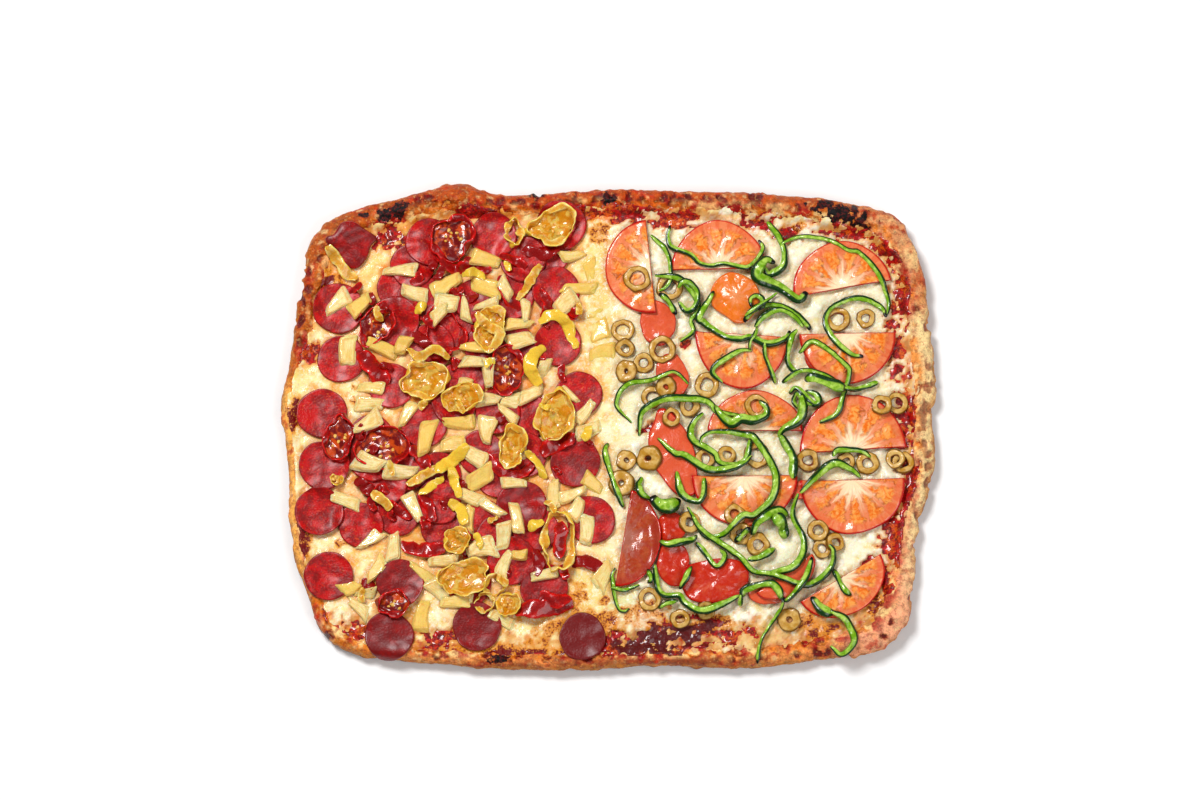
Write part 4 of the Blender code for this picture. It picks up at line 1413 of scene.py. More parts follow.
        tint = paint(
            np.tile(tone((0.8, 0.45, 0.24)), (len(points), 1)),
            (ramp(broad + 0.5 * middle, -0.2, 0.6), (0.9, 0.6, 0.34)),
            (corner * 0.8, (0.92, 0.66, 0.48)),
            (lower * 0.85, (1, 0.72, 0.57)), (top * 0.8, (0.72, 0.34, 0.2)),
            (left * 0.9, (1, 0.73, 0.4)), (knob * 0.85, (0.68, 0.36, 0.18)),
            (foot * 0.7, (0.93, 0.6, 0.38)),
            (ramp(middle - 0.4 * broad, 0.3, 0.75) * 0.7, (0.78, 0.3, 0.16)),
            (ramp(grain(points, 4 * MM, 27, 2), 0.35, 0.8) * 0.5, (0.99, 0.86, 0.62)),
            (right * 0.8, (1, 0.9, 0.66)), (brown * 0.75, (0.5, 0.25, 0.1)),
            (side * 0.9, (0.78, 0.51, 0.28)),
            ((1 - ramp(points[:, 2], 2 * MM, 8 * MM)) * 0.9, (0.42, 0.23, 0.1)),
            (corner * ramp(middle, -0.1, 0.4) * 0.8, (0.72, 0.32, 0.24)),
            (corner * ramp(broad - middle, 0.3, 0.8) * 0.8, (0.98, 0.82, 0.58)),
            (ramp(pits, 0.05, 0.3) * (0.7 - 0.3 * right), (0.8, 0.34, 0.17)),
            (ramp(pits, 0.2, 0.55) * (0.95 - 0.35 * right), (0.42, 0.09, 0.09)),
            (ramp(burns, 0.08, 0.5) * 0.75, (0.56, 0.23, 0.15)),
            (smears * 0.75, (0.76, 0.28, 0.16)),
            (slope * ramp(middle, -0.4, 0.4) * 0.8 * dull, (0.92, 0.54, 0.24)),
            (slope * ramp(middle + broad, 0.2, 0.6) * 0.9 * dull, (1, 0.86, 0.6)),
            (slope * ramp(broad - middle, 0.2, 0.6) * (0.85 - 0.5 * right), (0.7, 0.2, 0.13)))
        return tint, burns, np.maximum(smears, 0.6 * pits)


def pan_grid(edge: RimEdge, cell: float, reach: float) -> tuple[Rows, Rows, Rows]:
    """Square grid over the pan.

    Args:
        edge: the crust's edge.
        cell: the grid's step.
        reach: share of the rim's width at which the grid ends.

    Returns:
        Rows of x and y, rows of the corners of each square, and how far in each place is, as a
        share of the rim's width.
    """
    places = squares(edge.place.min(axis=0), edge.place.max(axis=0), cell)
    shape = places.shape[:2]
    places = places.reshape(-1, 2)
    inset, width = edge.inset(places)
    inside = (inset > reach * width).reshape(shape)
    whole = inside[:-1, :-1] & inside[1:, :-1] & inside[1:, 1:] & inside[:-1, 1:]
    i, j = np.nonzero(whole)
    number = np.arange(len(places)).reshape(shape)
    faces = beside(number[i, j], number[i + 1, j], number[i + 1, j + 1], number[i, j + 1])
    used, faces = np.unique(faces, return_inverse=True)
    return places[used], faces.reshape(-1, 4), (inset / width)[used]


def close_below(made: Piece, level: float) -> None:
    """Gives a sheet sides and a flat underside.

    Args:
        made: the sheet.
        level: height of the underside.
    """
    work = bmesh.new()
    work.from_mesh(made.data)
    rim = [edge for edge in work.edges if edge.is_boundary]
    walls = bmesh.ops.extrude_edge_only(work, edges=rim)["geom"]
    for vertex in (part for part in walls if isinstance(part, bmesh.types.BMVert)):
        vertex.co.z = level
    bmesh.ops.holes_fill(work, edges=[edge for edge in work.edges if edge.is_boundary], sides=0)
    bmesh.ops.recalc_face_normals(work, faces=work.faces)
    work.to_mesh(made.data)
    work.free()
    made.data.shade_smooth()


@dataclass
class Sauce:
    """Tomato sauce over the pan's floor, seen in a lumpy band at the foot of the rim."""

    bench: Bench
    finish: SauceFinish = SauceFinish("baked sauce", coat=0.6)
    thickness: float = 1.9 * MM
    cell: float = 1.25 * MM
    hidden: float = 0.8 * MM
    underside: float = 8.0 * MM

    def build(self) -> None:
        """Builds the sauce and lays it on the map."""
        plan, faces, share = pan_grid(self.bench.edge, self.cell, 0.6)
        base = self.bench.relief.bed(plan, 0, 0.8 * MM)
        flat = beside(plan, base)
        shows = blots(PHOTO.seen(flat), SAUCE_SHOWS, 0.6, 0.6, 31)
        lumps = 0.8 * grain(flat, 6 * MM, 32, 2) + 0.4 * ramp(grain(flat, 3.2 * MM, 33), -0.2, 0.6)
        level = self.thickness + lumps * MM * (0.5 + 1.2 * shows)
        on_rim = 1 - ramp(share, 0.9, 1.1)
        seep = ramp(shows, 0.15, 0.65)
        climb = (0.7 + 0.5 * lumps) * MM * seep - self.hidden * (1 - seep)
        flat[:, 2] = base + level * (1 - on_rim) + climb * on_rim
        burnt = blots(PHOTO.seen(flat), SAUCE_BURNT, 0.7, 0.5, 34)
        made = Parts().add(flat, faces, burnt=burnt).make("sauce", self.finish.material())
        close_below(made, self.underside)
        self.bench.relief.lay(flat)
        self.bench.hand_over(made, "sauce")


@dataclass
class Cheese:
    """Melted cheese that fills the pan and runs up the rim, browned in places."""

    bench: Bench
    finish: CheeseFinish = CheeseFinish("melted cheese", soak=0.25, soak_depth=0.003, coat=0.25)
    level: float = 13.0 * MM
    film: float = 0.7 * MM
    cell: float = 1.3 * MM
    underside: float = 8.5 * MM
    dip: float = 1.1 * MM

    def build(self) -> Piece:
        """Builds the cheese and lays it on the map.

        Returns:
            The piece, to tint with oil and painted shade once all lies on it.
        """
        plan, faces, share = pan_grid(self.bench.edge, self.cell, 0.36)
        base = self.bench.relief.bed(plan, 0, 1 * MM)
        flat = beside(plan, base)
        seen = PHOTO.seen(flat)
        sauce = blots(seen, SAUCE_SHOWS, 0.35, 0.8, 41, 5)
        ragged = grain(flat, 6 * MM, 42, 3)
        left = (1 - ramp(seen[:, 0], 300, 330)) * ramp(seen[:, 1], 340, 390)
        reach = 0.88 - 0.38 * left * (1 - ramp(seen[:, 1], 590, 620)) + 0.16 * ragged
        cover = ramp(share - reach, -0.08, 0.1) * (1 - sauce)
        waves = 0.7 * grain(flat, 30 * MM, 43) + 0.8 * grain(flat, 10 * MM, 44, 2)
        lumps = ramp(grain(flat, 5.5 * MM, 45, 2), 0, 0.8)
        lumps = lumps * (0.6 + 1.3 * ramp(seen[:, 0], 600, 650))
        surface = self.level + (waves + lumps) * MM
        surface = np.maximum(surface, base + self.film + 0.3 * MM * ragged)
        flat[:, 2] = (base - self.dip) * (1 - cover) + surface * cover
        tint, browned, thin = self._paint(flat, seen, cover * ramp(share, 0.9, 1.4), sauce)
        # Painted shade: darker and yellower in the hollows between the lumps
        tint = paint(tint, ((1 - ramp(lumps, 0, 0.5)) * 0.3, (0.88, 0.8, 0.5)))
        parts = Parts().add(flat, faces, tint=tint, browned=browned, thin=thin)
        made = parts.make("cheese_melted", self.finish.material())
        self.bench.relief.lay(flat)
        close_below(made, self.underside)
        self.bench.hand_over(made, "cheese", "cheese")
        return made

    def stain(self, made: Piece) -> None:
        """Tints the cheese near what lies on it: gathered oil and juice, and painted shade.

        Args:
            made: the cheese.
        """
        places = places_of(made)
        above = self.bench.relief.bed(places[:, :2], 1.6 * MM, 0.8 * MM) - places[:, 2]
        # Painted shade and gathered oil: orange and darker within a few millimetres of what stands
        # above the cheese
        near = ramp(above, 0.8 * MM, 4 * MM)
        right = ramp(PHOTO.seen(places)[:, 0], 590, 640)
        held = made.data.attributes["tint"].data
        tint = np.empty(4 * len(held))
        held.foreach_get("color", tint)
        tint = tint.reshape(-1, 4)
        tint[:, :3] = paint(tint[:, :3], (near * (1 - right) * 0.55, (0.9, 0.54, 0.2)),
                            (near * right * 0.4, (0.8, 0.64, 0.36)))
        held.foreach_set("color", tint.ravel())

    @staticmethod
    def _paint(points: Rows, seen: Rows, cover: Rows, sauce: Rows) -> tuple[Rows, Rows, Rows]:
        """Colours the cheese.

        Args:
            points: its vertices.
            seen: where they show in the photograph.
            cover: how thickly it covers the pan at each.
            sauce: how much sauce shows at each.

        Returns:
            Rows of colours, and how browned and how thin each point is.
        """
        x, y = seen.T
        broad, middle = grain(points, 24 * MM, 51, 2), grain(points, 7 * MM, 52, 3)
        small = grain(points, 3 * MM, 56, 3)
        yellow = (1 - ramp(x + 14 * broad, 590, 640)) * 0.85
        oily = blots(seen, ((360, 290, 50, 50, 0), (600, 300, 20, 70, 0), (590, 590, 40, 30, 0)),
                     0.6, 0.5, 59, 8)
        centre = blots(seen, ((470, 340, 110, 90, 0), (460, 480, 100, 90, 0)), 0.4, 0.3, 58, 12)
        slices = [(row[0], row[1], 0.62 * row[2], 0.62 * row[2], 0) for row in PEPPERONI]
        greasy = blots(seen, slices, 0.35, 0.5, 53, 5)
        pale = blots(seen, ((622, 604, 16, 22, 0), (606, 578, 12, 12, 0)), 0.5, 0.3, 54)
        slope = (1 - cover) * (1 - (1 - ramp(x, 300, 318)) * ramp(y, 340, 380))
        blush = blots(seen, SAUCE_SHOWS, 0.9, 0.6, 41, 5)
        bare = blots(seen, BARE, 0.5, 0.8, 57, 5)
        browned = blots(seen, BROWNED, 0.6, 0.6, 55) * 0.75 + slope * 0.3
        left = (1 - ramp(x, 300, 318)) * ramp(y, 340, 380)
        thin = np.clip(bare + slope + 0.5 * blush + 0.6 * greasy + 0.5 * centre, 0, 1)
        tint = paint(
            np.tile(tone((1, 0.985, 0.9)), (len(points), 1)),
            (ramp(small + 0.5 * middle, 0, 0.9) * 0.6, (0.96, 0.89, 0.68)),
            (yellow, (1, 0.92, 0.64)),
            (yellow * ramp(middle + 0.5 * small, -0.2, 0.4) * 0.9, (0.96, 0.78, 0.36)),
            (oily * 0.7, (0.96, 0.8, 0.42)),
            (centre * ramp(middle, -0.5, 0.4) * 0.75, (0.9, 0.48, 0.17)),
            (ramp(middle + broad, 0.4, 1) * 0.5, (0.95, 0.88, 0.58)),
            (ramp(small - broad, 0.3, 0.9) * 0.5, (1, 1, 0.95)),
            (greasy * ramp(middle, -0.3, 0.5) * 0.7, (0.94, 0.58, 0.24)),
            (pale * 0.5, (0.84, 0.86, 0.56)),
            (slope * ramp(small + middle, -0.4, 0.2) * 0.9, (0.94, 0.62, 0.32)),
            (slope * ramp(small - 0.5 * middle, 0.2, 0.7) * 0.9, (1, 0.9, 0.68)),
            (slope * ramp(middle - small, 0.3, 0.8) * 0.9, (0.74, 0.26, 0.16)),
            (np.clip(blush + sauce, 0, 1) * 0.75, (0.9, 0.46, 0.22)),
            (bare * 0.9, (0.88, 0.56, 0.32)),
            (bare * ramp(small + middle, 0, 0.6) * 0.85, (0.68, 0.26, 0.17)),
            (bare * ramp(small - middle, 0.3, 0.9) * 0.6, (0.98, 0.84, 0.6)))
        return tint, np.clip(browned + 0.32 * left + 0.1 * middle, 0, 1), thin


# Rings of a slice, over its top, its edge and its underside: share of the way out, and level
FLAT_SHARES = (0.12, 0.24, 0.36, 0.47, 0.57, 0.66, 0.74, 0.81, 0.87, 0.92)
SLICE_RINGS = np.array([(share, 1) for share in FLAT_SHARES] + [
    (0.96, 0.97), (0.985, 0.86), (1, 0.58), (0.995, 0.25), (0.97, 0.05), (0.9, 0), (0.5, 0)])


@dataclass
class SliceMaker:
    """Lays soft flat slices over what is already there, and gathers them in one piece."""

    bench: Bench
    parts: Parts = field(default_factory=Parts)

    @staticmethod
    def spread(outline: Rows) -> tuple[Rows, Rows]:
        """Rings of points over and under a slice.

        Args:
            outline: rows of x and y round it.

        Returns:
            The points' x and y, and each one's share of the way out.
        """
        middle, shares = outline.mean(axis=0), SLICE_RINGS[:, 0]
        rings = middle + (outline - middle)[None] * shares[:, None, None]
        plan = np.vstack((middle[None], rings.reshape(-1, 2), middle[None]))
        return plan, np.pad(np.repeat(shares, len(outline)), 1)

    def lay(self, plan: Rows, share: Rows, thickness: float, lift: Rows, reach: float, blur: float,
            **values: Any) -> None:
        """Adds one slice.

        Args:
            plan: its points, as spread gives them.
            share: their shares of the way out.
            thickness: how thick it is.
            lift: extra height of each point.
            reach: how far round each point it clears what lies below.
            blur: how far it smooths what lies below.
            values: what its vertices carry.
        """
        sides = (len(plan) - 2) // len(SLICE_RINGS)
        level = np.pad(np.repeat(SLICE_RINGS[:, 1], sides), 1, constant_values=(1.0, 0.0))
        bed = self.bench.relief.bed(plan, reach, blur)
        points = beside(plan, bed + level * thickness + lift + 0.1 * MM)
        self.parts.add(points, *pole_faces(len(SLICE_RINGS), sides), share=share, **values)
        upper = points[level > 0.5]
        between = (upper[1:] + upper[:-1]) / 2
        near = np.linalg.norm(upper[1:, :2] - upper[:-1, :2], axis=1) < 2 * MM
        self.bench.relief.lay(np.vstack((upper, between[near])))


@dataclass
class Pepperoni:
    """Pepperoni slices, whose rims curl, and one that folded into a kite."""

    bench: Bench
    finish: PepperoniFinish = PepperoniFinish("pepperoni", soak=0.05, coat=0.3, coat_roughness=0.28)
    thickness: float = 1.6 * MM
    curl: float = 1.7 * MM
    sides: int = 60

    def build(self) -> None:
        """Builds all the slices as one piece."""
        maker = SliceMaker(self.bench)
        for number, (x, y, width, dark, cup) in enumerate(PEPPERONI):
            outline = oval((x, y, width, width, 0), self.sides, 0.045, 60 + number)
            plan, share = maker.spread(outline)
            away = (plan - outline.mean(axis=0)) / (0.5 * width * PHOTO.pixel)
            # Painted sheen: patches that grow stronger towards the upper left of each slice, where
            # the light falls
            painted_sheen = ramp(grain(with_column(plan, 0), 9 * MM, 130 + number, 2), 0, 0.6)
            painted_sheen = painted_sheen * ramp(0.8 * away[:, 1] - 0.6 * away[:, 0], -0.4, 0.9)
            lean = 1 + 0.6 * np.cos(np.arctan2(away[:, 1], away[:, 0]) * 2 + 2.4 * number)
            curl = self.curl * cup * share ** 3 * lean
            wrinkle = 0.3 * grain(with_column(plan, number * 0.01), 6 * MM, 100 + number, 2) * MM
            maker.lay(plan, share, self.thickness, curl + wrinkle, 1.2 * MM, 2.2 * MM, painted_sheen=painted_sheen,
                      dark=dark)
        self._fold(maker)
        made = maker.parts.make("pepperoni_slices", self.finish.material())
        self.bench.hand_over(made, "pepperoni", "pepperoni")

    def _fold(self, maker: SliceMaker) -> None:
        """Adds the slice that folded over itself and dried dark.

        Args:
            maker: lays and gathers the slices.
        """
        outline = smooth_curve(PHOTO.spots(FOLDED_SLICE[::-1]), 1.8 * MM, True)
        plan, share = maker.spread(outline)
        off = plan - outline.mean(axis=0)
        away = off / (17 * MM)
        ridge = np.exp(-((away[:, 0] * 0.8 + away[:, 1] * 0.6) / 0.35) ** 2)
        lift = (1.6 * ridge * (1 - share ** 2) + 0.8 * (1 - share ** 4)) * MM
        # The folded slice carries a little painted sheen all over
        maker.lay(plan, share, 2 * self.thickness, lift, 1.2 * MM, 2 * MM, painted_sheen=0.35,
                  dark=0.55 + 0.4 * ramp(np.abs(off[:, 0]), 0.011, 0.018))


@dataclass
class Tomato:
    """Half slices of tomato with ribs and chambers, and smaller soft pieces."""

    bench: Bench
    finish: TomatoFinish = TomatoFinish("tomato", soak=0.2, coat=0.55, coat_roughness=0.08)
    thickness: float = 3.6 * MM
    arc: int = 44
    straight: int = 26
    # For each cut: colour, how crumpled, how much ribs show, height of its dome, share of peel
    kinds: dict[TomatoCut, tuple[Any, ...]] = field(default_factory=lambda: {
        RIBBED: ((0.95, 0.5, 0.3), 0.35, 1, 0, 1),
        PLAIN: ((0.88, 0.41, 0.31), 0.5, 0, 1.1, 1),
        GLOSSY: ((0.79, 0.29, 0.02), 0.9, 0, 1.1, 1),
        CRUMPLED: ((0.92, 0.5, 0.24), 1.3, 0.15, 0, 0.2),
        BAKED: ((0.62, 0.17, 0), 0.4, 0.16, 0, 1)})

    def _half(self, start: Rows, end: Rows, bulge: float, seed: int) -> tuple[Rows, Rows]:
        """Outline of a half slice, and the middle and half axes of the whole slice.

        Args:
            start: one end of the cut side.
            end: its other end.
            bulge: how far the round side stands out to the left, in metres.
            seed: picks its unevenness.

        Returns:
            The outline, and rows with the middle, the half cut side and the way out.
        """
        middle, half = (start + end) / 2, (end - start) / 2
        out = np.array((-half[1], half[0])) / np.linalg.norm(half) * bulge
        cut = start + (end - start) * np.linspace(0, 1, self.straight, endpoint=False)[:, None]
        angle = np.linspace(0, math.pi, self.arc, endpoint=False)
        bend = beside(np.cos(angle), np.sin(angle), np.full(self.arc, 0.1 * seed))
        swell = 1 + 0.05 * grain(bend, 0.7, seed) * np.sin(angle)
        arc = half * np.cos(angle)[:, None] + out * np.sin(angle)[:, None]
        arc = middle + arc * swell[:, None]
        outline = np.vstack((cut, arc))
        return (outline if bulge < 0 else outline[::-1]), np.array((middle, half, out))

    def build(self) -> None:
        """Builds all the slices and pieces as one piece."""
        maker = SliceMaker(self.bench)
        for number, (cut, *row) in enumerate(TOMATO_PIECES):
            outline = oval(row, self.arc + self.straight, 0.14, 200 + number)
            half = np.array(row[2:4]) * PHOTO.pixel / 2
            axes = np.array((outline.mean(axis=0), (half[0], 0), (0, half[1])))
            self._lay(maker, cut, outline, axes, 230 + number)
        for number, (cut, x0, y0, x1, y1, bulge) in enumerate(TOMATO_HALVES):
            start, end = PHOTO.spots(((x0, y0), (x1, y1)))
            outline, axes = self._half(start, end, bulge * PHOTO.pixel, 250 + number)
            self._lay(maker, cut, outline, axes, 280 + number)
        made = maker.parts.make("tomato_slices", self.finish.material())
        self.bench.hand_over(made, "tomato", "tomato")

    def _lay(self, maker: SliceMaker, cut: TomatoCut, outline: Rows, axes: Rows, seed: int) -> None:
        """Lays one slice, with the pattern of its cut face.

        Args:
            maker: lays and gathers the slices.
            cut: what the slice shows.
            outline: rows of x and y round it.
            axes: middle and half axes of the whole slice.
            seed: picks its pattern.
        """
        middle, half, out = axes
        tint, crumple, shown, dome, peel = self.kinds[cut]
        plan, share = maker.spread(outline)
        away, flat = plan - middle, with_column(plan, seed * 0.01)
        dial = beside(away @ half / (half @ half), away @ out / (out @ out))
        dial = with_column(dial, 0.13 * (seed % 7))
        waves = grain(flat, 9 * MM, seed, 1) + 0.6 * grain(flat, 3.2 * MM, seed + 1, 2)
        lift = (crumple * waves + dome * (1 - share ** 2.5)) * MM
        maker.lay(plan, share, self.thickness, lift, 0.8 * MM, 2.6 * MM, dial=dial, peel=peel,
                  cut=shown, tint=tone(tint))


@dataclass
class Pineapple:
    """Pineapple tidbits, stiff wedges that rest on whatever is under them."""

    bench: Bench
    finish: PineappleFinish = PineappleFinish(
        "pineapple", soak=0.5, soak_depth=0.004, coat=0.5, coat_roughness=0.06)
    height: float = 2.9 * MM
    sink: float = 0.9 * MM
    melted_sink: float = 2.2 * MM
    melted_from: tuple[float, float] = (588, 370)
    steps: int = 10
    squareness: float = 11.0

    def _block(self) -> tuple[Rows, Rows]:
        """A rounded cube from -1 to 1.

        Returns:
            Its vertices and its squares.
        """
        work = bmesh.new()
        bmesh.ops.create_cube(work, size=2)
        bmesh.ops.subdivide_edges(work, edges=work.edges, cuts=self.steps - 1, use_grid_fill=True)
        points = np.array([vertex.co for vertex in work.verts])
        faces = np.array([[vertex.index for vertex in face.verts] for face in work.faces])
        work.free()
        norm = (np.abs(points) ** self.squareness).sum(axis=1) ** (1 / self.squareness)
        return points / norm[:, None], faces

    def build(self) -> None:
        """Builds all the tidbits as one piece."""
        cube, faces = self._block()
        parts = Parts()
        rng = np.random.default_rng(71)
        for number, (x, y, length, breadth, turn) in enumerate(PINEAPPLE):
            middle = PHOTO.spots((x, y))[0]
            half = np.array((length, breadth)) * PHOTO.pixel / 2
            ends = rng.uniform(0.3, 0.95, 2)
            ends[rng.integers(2)] = 1.08
            narrow = ends[0] + (ends[1] - ends[0]) * (cube[:, 0] + 1) / 2
            rough = 0.06 * grain(cube * 0.01, 7 * MM, 300 + number, 2)
            draft = 1 - 0.14 * cube[:, 2]
            across = cube[:, 0] * half[0] * (draft + rough)
            across = across + rng.uniform(-0.6, 0.6) * cube[:, 1] * half[1]
            up = cube[:, 1] * half[1] * narrow * (draft + rough)
            up = up + rng.uniform(-0.25, 0.25) * half[1] * cube[:, 0] ** 2
            plan = middle + turned(across, up, turn + rng.uniform(-4, 4))
            melted = x > self.melted_from[0] and y < self.melted_from[1]
            plane = self.bench.relief.seat(plan, self.melted_sink if melted else self.sink)
            slant = cube[:, :2] @ rng.uniform(-0.4, 0.4, 2)
            tall = self.height * rng.uniform(0.65, 1.1) * (1 + slant)
            level = plane[0] + (plan - middle) @ plane[1:] + (cube[:, 2] + 1) / 2 * tall
            points = beside(plan, level + 0.35 * MM * grain(cube * 0.01, 8 * MM, number, 2))
            rim = np.sort(np.abs(cube), axis=1)[:, 1]
            ripe = 0.8 if melted or number % 9 == 4 else rng.uniform(0, 1) ** 3 * 0.8
            block = cube + np.array((number * 3.1, 0, 0))
            parts.add(points, faces, block=block, rim=rim, ripe=ripe)
            self.bench.relief.lay(self._fill(points[cube[:, 2] > 0.2]))
        self.bench.hand_over(parts.make("pineapple", self.finish.material()), "pineapple")

    @staticmethod
    def _fill(points: Rows) -> Rows:
        """The points of a top face with those halfway to its middle added."""
        middle = points.mean(axis=0)
        return np.vstack([middle + (points - middle) * share for share in (1, 0.75, 0.5, 0.25)])


class GrowthTree:
    """Geometry Nodes with named inputs, which turn paths or points into solid pieces."""

    kinds = {"Finish": "Material", "Sides": "Int"}

    def __init__(self, name: str, *inputs: str) -> None:
        """Builds the tree, with the shape that a subclass gives.

        Args:
            name: the tree's name.
            inputs: names of its inputs, besides the geometry and the finish.
        """
        tree = bpy.data.node_groups.new(name, "GeometryNodeTree")
        sockets = tree.interface
        sockets.new_socket("Geometry", in_out="INPUT", socket_type="NodeSocketGeometry")
        self.inputs = {}
        for label in (*inputs, "Finish"):
            kind = "NodeSocket" + self.kinds.get(label, "Float")
            socket = sockets.new_socket(label, in_out="INPUT", socket_type=kind)
            self.inputs[label] = socket.identifier
        sockets.new_socket("Geometry", in_out="OUTPUT", socket_type="NodeSocketGeometry")
        g = Graph(tree)
        given = {label: g.node("NodeGroupInput", {}, {}, label)
                 for label in ("Geometry", *self.inputs)}
        made = g.node("GeometryNodeRealizeInstances", {}, {"Geometry": self.shape(g, given)})
        made = g.node("GeometryNodeSetShadeSmooth", {}, {"Geometry": made})
        made = g.node("GeometryNodeSetMaterial", {},
                      {"Geometry": made, "Material": given["Finish"]})
        g.node("NodeGroupOutput", {}, {"Geometry": made})
        self.tree = tree

    def shape(self, g: Graph, given: dict[str, Wire]) -> Wire:
        """The solid pieces.

        Args:
            g: the tree's graph.
            given: the wire of each input.

        Returns:
            The wire of their geometry.
        """
        raise NotImplementedError

    @staticmethod
    def named(g: Graph, name: str, kind: str = "FLOAT") -> Wire:
        """Value that the points carry under a name."""
        return g.node("GeometryNodeInputNamedAttribute", {"data_type": kind}, {"Name": name})

    @staticmethod
    def section(g: Graph, sides: Value, roundness: Value, width: Wire, height: Wire) -> Wire:
        """Rounded oblong to sweep, whose points know how far to the side and down they are.

        Args:
            g: the tree's graph.
            sides: how many points it has.
            roundness: 1 for an oval, less for a squarer shape.
            width: its width.
            height: its height.

        Returns:
            The wire of the curve.
        """
        circle = g.node("GeometryNodeCurvePrimitiveCircle", {}, {"Resolution": sides, "Radius": 1},
                        "Curve")
        place = g.node("GeometryNodeInputPosition", {}, {})
        parts = [g.part(place, axis) for axis in (0, 1)]
        for name, value in zip(("side", "down"), parts):
            circle = g.node("GeometryNodeStoreNamedAttribute", {"data_type": "FLOAT"},
                            {"Geometry": circle, "Name": name, "Value": value})
        blunt = [0.5 * part.sign() * abs(part) ** roundness for part in parts]
        shaped = g.node("ShaderNodeCombineXYZ", {}, {"X": blunt[0] * width, "Y": blunt[1] * height})
        return g.node("GeometryNodeSetPosition", {}, {"Geometry": circle, "Position": shaped})


class SweepTree(GrowthTree):
    """Sweeps a rounded section along the edges of a mesh."""

    def shape(self, g: Graph, given: dict[str, Wire]) -> Wire:
        """The strips.

        Args:
            g: the tree's graph.
            given: the wire of each input.

        Returns:
            The wire of their geometry.
        """
        section = self.section(g, given["Sides"], given["Roundness"], given["Width"],
                               given["Height"])
        path = g.node("GeometryNodeMeshToCurve", {}, {"Mesh": given["Geometry"]})
        path = g.node("GeometryNodeSetCurveNormal", {"mode": "Z_UP"}, {"Curve": path})
        path = g.node("GeometryNodeSetCurveTilt", {},
                      {"Curve": path, "Tilt": self.named(g, "lean")})
        return g.node("GeometryNodeCurveToMesh", {}, {
            "Curve": path, "Profile Curve": section, "Scale": self.named(g, "girth"),
            "Fill Caps": True})


class ScatterTree(GrowthTree):
    """Puts a small turned body on each point of a mesh."""

    def shape(self, g: Graph, given: dict[str, Wire]) -> Wire:
        """The bodies in their places.

        Args:
            g: the tree's graph.
            given: the wire of each input.

        Returns:
            The wire of their geometry.
        """
        body = self.body(g, given)
        turn = self.named(g, "turn", "FLOAT_VECTOR")
        turn = g.node("FunctionNodeEulerToRotation", {}, {"Euler": turn})
        points = g.node("GeometryNodeMeshToPoints", {}, {"Mesh": given["Geometry"]})
        return g.node("GeometryNodeInstanceOnPoints", {}, {
            "Points": points, "Instance": body, "Rotation": turn, "Scale": self.named(g, "size")})

    def body(self, g: Graph, given: dict[str, Wire]) -> Wire:
        """The body to scatter.

        Args:
            g: the tree's graph.
            given: the wire of each input.

        Returns:
            The wire of its geometry.
        """
        raise NotImplementedError


class RingTree(ScatterTree):
    """Scatters rings with flat faces and round edges."""

    def body(self, g: Graph, given: dict[str, Wire]) -> Wire:
        """A ring.

        Args:
            g: the tree's graph.
            given: the wire of each input.

        Returns:
            The wire of its geometry.
        """
        section = self.section(g, 14, 0.62, given["Wall"], given["Height"])
        path = g.node("GeometryNodeCurvePrimitiveCircle", {},
                      {"Resolution": 36, "Radius": given["Radius"] - 0.5 * given["Wall"]}, "Curve")
        path = g.node("GeometryNodeSetCurveNormal", {"mode": "Z_UP"}, {"Curve": path})
        return g.node("GeometryNodeCurveToMesh", {}, {"Curve": path, "Profile Curve": section})


class SeedTree(ScatterTree):
    """Scatters flat drop-shaped seeds."""

    def body(self, g: Graph, given: dict[str, Wire]) -> Wire:
        """A seed.

        Args:
            g: the tree's graph.
            given: the wire of each input.

        Returns:
            The wire of its geometry.
        """
        ball = g.node("GeometryNodeMeshIcoSphere", {}, {"Radius": 1, "Subdivisions": 2}, "Mesh")
        place = g.node("GeometryNodeInputPosition", {}, {})
        across, up, high = (g.part(place, axis) for axis in range(3))
        shaped = g.node("ShaderNodeCombineXYZ", {}, {
            "X": across * given["Radius"], "Y": up * given["Wall"] * (1 - 0.3 * across),
            "Z": high * given["Height"]})
        return g.node("GeometryNodeSetPosition", {}, {"Geometry": ball, "Position": shaped})


def grow(paths: Parts, kit: GrowthTree, name: str, **inputs: Any) -> Piece:
    """Turns paths or points into solid pieces.

    Args:
        paths: the points and lines, and what they carry.
        kit: the node tree and its inputs.
        name: name of the object made.
        inputs: value of each named input.

    Returns:
        A plain mesh object.
    """
    holder = placed(name, paths.mesh(name))
    nodes = holder.modifiers.new("grow", "NODES")
    nodes.node_group = kit.tree
    for label, value in inputs.items():
        nodes[kit.inputs[label]] = value
    evaluated = holder.evaluated_get(bpy.context.evaluated_depsgraph_get())
    solid = bpy.data.meshes.new_from_object(evaluated)
    holder.modifiers.clear()
    holder.data = solid
    return holder


